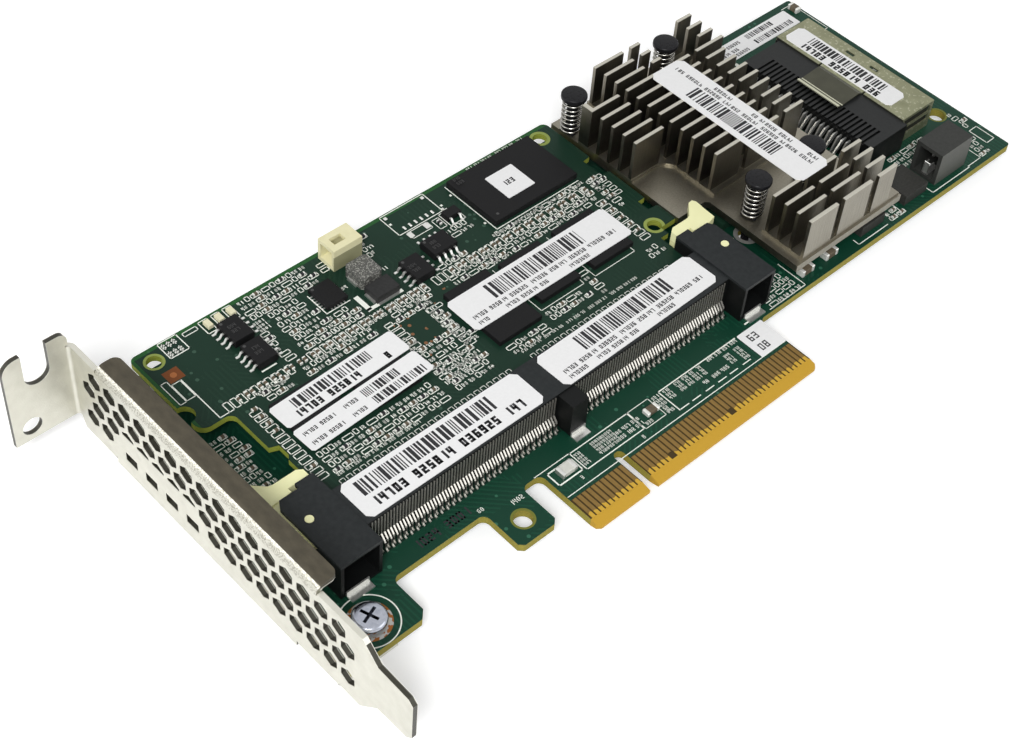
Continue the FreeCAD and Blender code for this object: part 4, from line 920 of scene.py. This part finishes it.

# === Cable connector =====================================================================================
# A cage folded from thin olive-plated sheet round the mouth of a black ribbed housing, with a spring tongue
# reaching back over the ribs, painted dark as shade on its sloped faces. Tinned tails come out of the
# housing's back wall.

cage = Finish("cage_sheet")
cloud = cage.noise(2.4, 4.0)
grain = cage.noise(0.2, 2.0, cage.stretched(1, 0.3, 1))
# Painted shade: the tongue's sloped faces are painted dark.
tongue_shade = (cage.x < 92.9) * (cage.z > 5.8)
lip_highlight = (cage.x < 86.3) + cage.within(cage.x, 86.9, 87.15)
scuff = cage.noise(0.7, 4.0)
colour = cage.mix(cloud, (0.17, 0.175, 0.100), (0.33, 0.335, 0.215))
colour = cage.mix((scuff > 0.60) * 0.5, colour, (0.50, 0.50, 0.38))
colour = cage.mix(tongue_shade, colour, cage.mix(cloud, (0.050, 0.050, 0.036), (0.085, 0.085, 0.060)))
# Painted highlight: bright lines along the tongue's rising lip.
colour = cage.mix(tongue_shade * lip_highlight, colour, (0.55, 0.55, 0.42))
paint("cable_cage", cage.surface({
    "Base Color": colour,
    "Metallic": 0.75,
    "Roughness": 0.32 + grain * 0.16,
    "Normal": cage.bump(grain, 0.006),
}))
ribbed = Finish("cable_resin")
cloud = ribbed.noise(0.6, 3.0)
# Painted shade: below the rib crests the grooves are painted near black.
crest_over_groove_shade = ribbed.z > 5.86
colour = ribbed.mix(cloud, (0.009, 0.010, 0.010), (0.020, 0.021, 0.021))
paint("cable_housing", ribbed.surface({
    "Base Color": ribbed.mix(crest_over_groove_shade, (0.0030, 0.0032, 0.0032), colour),
    "Roughness": 0.36 + cloud * 0.14,
    "Specular IOR Level": 0.2,
    "Normal": ribbed.bump(cloud, 0.008),
}))
paint("cable_tails", legs_tin)

# === Battery header ======================================================================================
# Black moulded header that lies on its side, soldered to the board, with two rows of square pins and a bent
# tinned tab inside its mouth.

shroud = Finish("header_black")
cloud = shroud.noise(0.6, 3.0)
front = shroud.y < 15.15
colour = shroud.mix(cloud, (0.020, 0.021, 0.019), (0.042, 0.043, 0.040))
paint("battery_header", shroud.surface({
    "Base Color": shroud.mix(front * 0.6, colour, (0.115, 0.118, 0.105)),
    "Roughness": 0.40 + cloud * 0.15,
    "Specular IOR Level": 0.2,
    "Normal": shroud.bump(cloud, 0.008),
}))
tab = joined([
    block((90.2, 90.45), (17.3, 18.6), (0.95, 3.4), 0.08),
    block((90.2, 93.4), (17.3, 18.6), (0.85, 1.05)),
    block((90.2, 91.6), (17.3, 17.5), (1.0, 3.0)),
    block((90.2, 91.6), (18.4, 18.6), (1.0, 3.0)),
])
settled(tab, "battery_header_tab", [legs_tin])

# === Labels ==============================================================================================
# White paper labels with clipped corners, stuck on by hand and some of them a little askew. They are printed
# in black with plain bars and rows of plain figures.

# Heights of the labels' upper faces.
MEMORY_LABEL = 5.8
SOCKET_LABEL = 7.55
SINK_LABEL = 14.2
CAGE_LABEL = 6.3
CHIP_LABEL = 6.0
BOARD_LABEL = 0.1
INK_DARK = plain("print_dark", (0.020, 0.020, 0.022), (0.045, 0.045, 0.048), 0.4, 0.6)
paper = plain("label_paper", (0.80, 0.80, 0.80), (0.88, 0.88, 0.88), 0.5, 0.55, 0.0, 0.004)
for node in ("module_labels", "socket_labels", "heatsink_label", "cage_label", "flash_label", "board_labels"):
    paint(node, paper)


def stripes(x0, x1, y0, y1, step=0.22):
    """Upright bars of mixed widths between two limits."""
    bars = []
    x = x0
    while x < x1:
        wide = step * chance.choice((1, 1, 2, 3))
        bars.append((x, min(x + wide, x1), y0, y1))
        x += wide + step * chance.choice((1, 1, 2))
    return bars


def figures(x0, x1, y, height, bold=0.2):
    """Row of plain figures between two limits, with a gap here and there."""
    count = int((x1 - x0) / (height * 0.76))
    text = "".join(" " if i % 7 == 5 and count > 8 else str((3 * i + 1) % 10) for i in range(count))
    return digits(text, x0, y, height, bold)


bars = stripes(-35.4, -19.8, 44.0, 46.0) + figures(-36.4, -21.3, 42.2, 1.45, 0.26)
bars += digits("8", -18.0, 42.2, 1.45, 0.26)
printed("label_print_a", bars, MEMORY_LABEL, INK_DARK, 1.8, (-26.4, 44.15))
bars = figures(-38.2, -31.0, 38.9, 0.8) + figures(-30.0, -26.4, 38.9, 0.8) + figures(-38.2, -31.0, 36.7, 0.8)
bars += figures(-30.0, -26.4, 36.7, 0.8) + stripes(-25.8, -18.6, 38.5, 40.2, 0.18)
bars += stripes(-25.3, -14.8, 36.4, 38.0, 0.18)
printed("label_print_b", bars, MEMORY_LABEL, INK_DARK, 2.3, (-26.3, 38.4))
bars = stripes(4.2, 25.0, 41.4, 44.8) + figures(-2.0, 31.3, 39.9, 0.85) + figures(-2.0, 0.7, 38.5, 0.8)
bars += figures(4.0, 14.0, 38.5, 0.8) + figures(18.5, 23.4, 38.5, 0.8)
printed("label_print_c", bars, MEMORY_LABEL, INK_DARK)
bars = stripes(-39.2, -12.7, 22.9, 25.9) + figures(-39.0, -7.8, 20.3, 1.75, 0.25)
printed("label_print_d", bars, SOCKET_LABEL, INK_DARK)
bars = stripes(6.4, 27.2, 22.9, 26.2) + figures(0.0, 33.4, 21.4, 0.85) + figures(0.0, 4.7, 20.1, 0.8)
bars += figures(6.3, 16.6, 20.1, 0.8) + figures(20.5, 25.2, 20.1, 0.8)
printed("label_print_e", bars, SOCKET_LABEL, INK_DARK, 1.2, (16.55, 23.2))
bars = stripes(50.7, 71.1, 40.4, 43.7) + figures(44.5, 77.6, 39.1, 0.85) + figures(44.5, 47.4, 37.7, 0.85)
bars += figures(50.5, 60.6, 37.7, 0.85) + figures(64.7, 69.5, 37.7, 0.85)
printed("label_print_f", bars, SINK_LABEL, INK_DARK, 90, (61.0, 41.0))
bars = figures(87.7, 107.3, 41.0, 1.6, 0.25) + stripes(88.1, 106.6, 43.0, 45.3)
printed("label_print_g", bars, CAGE_LABEL, INK_DARK, -90, (97.0, 44.0))
bars = digits("123", 23.6, 60.0, 1.15, 0.22)
printed("label_print_h", bars, CHIP_LABEL, INK_DARK)
printed("board_stamp", digits("1024 3001", -35.8, 14.4, 1.6, 0.2), OVER_PRINT, INK_DARK)
bars = stripes(94.5, 102.0, 65.4, 66.7, 0.16) + stripes(95.0, 106.0, 63.3, 64.6, 0.16)
bars += figures(81.0, 93.0, 65.6, 0.8) + figures(81.0, 91.0, 64.2, 0.8) + figures(81.0, 93.5, 63.0, 0.8)
bars += digits("63", 34.4, 10.5, 1.5) + digits("08", 34.4, 8.0, 1.5)
printed("label_print_i", bars, BOARD_LABEL, INK_DARK)

# === Floor, light and camera =============================================================================
# A plain pale sheet lies under the card. One soft light stands at the front left, two weak ones fill in, and
# the camera looks down from the bracket's end.

deselect()
bpy.ops.mesh.primitive_plane_add(size=3.0, location=(0.03, 0.03, -0.00435))
floor = bpy.context.object
floor.name = "floor"
ground = Finish("floor_white")
SEEN_DIRECTLY = ("Is Camera Ray", "Is Glossy Ray", "Is Transmission Ray")
by_camera, by_gloss, by_glass = ground.node("LightPath", {}, {}, *SEEN_DIRECTLY)
glow = ground.mix(by_camera + by_gloss + by_glass, (0.0, 0.0, 0.0), (0.36, 0.36, 0.36))
floor.data.materials.append(ground.surface({
    "Base Color": (0.82, 0.82, 0.82),
    "Roughness": 0.9,
    "Emission Color": glow,
    "Emission Strength": 1.0,
}))


class Surroundings(Finish):
    """The world's light, written as a finish is."""

    def __init__(self, name):
        self.material = bpy.data.worlds.new(name)
        self.material.use_nodes = True
        self.tree = self.material.node_tree
        self.shader = self.tree.nodes["Background"]


sky = Surroundings("studio")
by_camera, by_gloss, by_glass = sky.node("LightPath", {}, {}, *SEEN_DIRECTLY)
seen = sky.node("Math", {"operation": "ADD", "use_clamp": True}, {0: by_camera + by_gloss, 1: by_glass})
bpy.context.scene.world = sky.surface({"Color": (1.0, 1.0, 1.0), "Strength": seen * 0.78 + 0.22})

for name, place, watts, size in (
        ("key", (-0.55, -0.40, 0.75), 9.0, 0.35),
        ("side", (-0.75, 0.45, 0.55), 2.0, 0.5),
        ("fill", (0.45, -0.70, 0.45), 1.6, 0.6)):
    bpy.ops.object.light_add(type="AREA", location=place)
    lamp = bpy.context.object
    lamp.name = name
    lamp.data.energy = watts
    lamp.data.size = size
    towards = Vector((0.02, 0.03, 0.0)) - Vector(place)
    lamp.rotation_euler = towards.to_track_quat("-Z", "Y").to_euler()

bpy.ops.object.camera_add(location=(-0.144825, -0.101921, 0.221039))
eye = bpy.context.object
eye.name = "camera"
eye.rotation_euler = tuple(math.radians(a) for a in (42.05851, -4.17883, -43.45652))
eye.data.sensor_width = 36.0
eye.data.lens = 64.74
eye.data.shift_x = -0.0277
eye.data.shift_y = -0.0170
eye.data.clip_start = 0.01
bpy.context.scene.camera = eye
bpy.context.scene.view_settings.view_transform = "Standard"
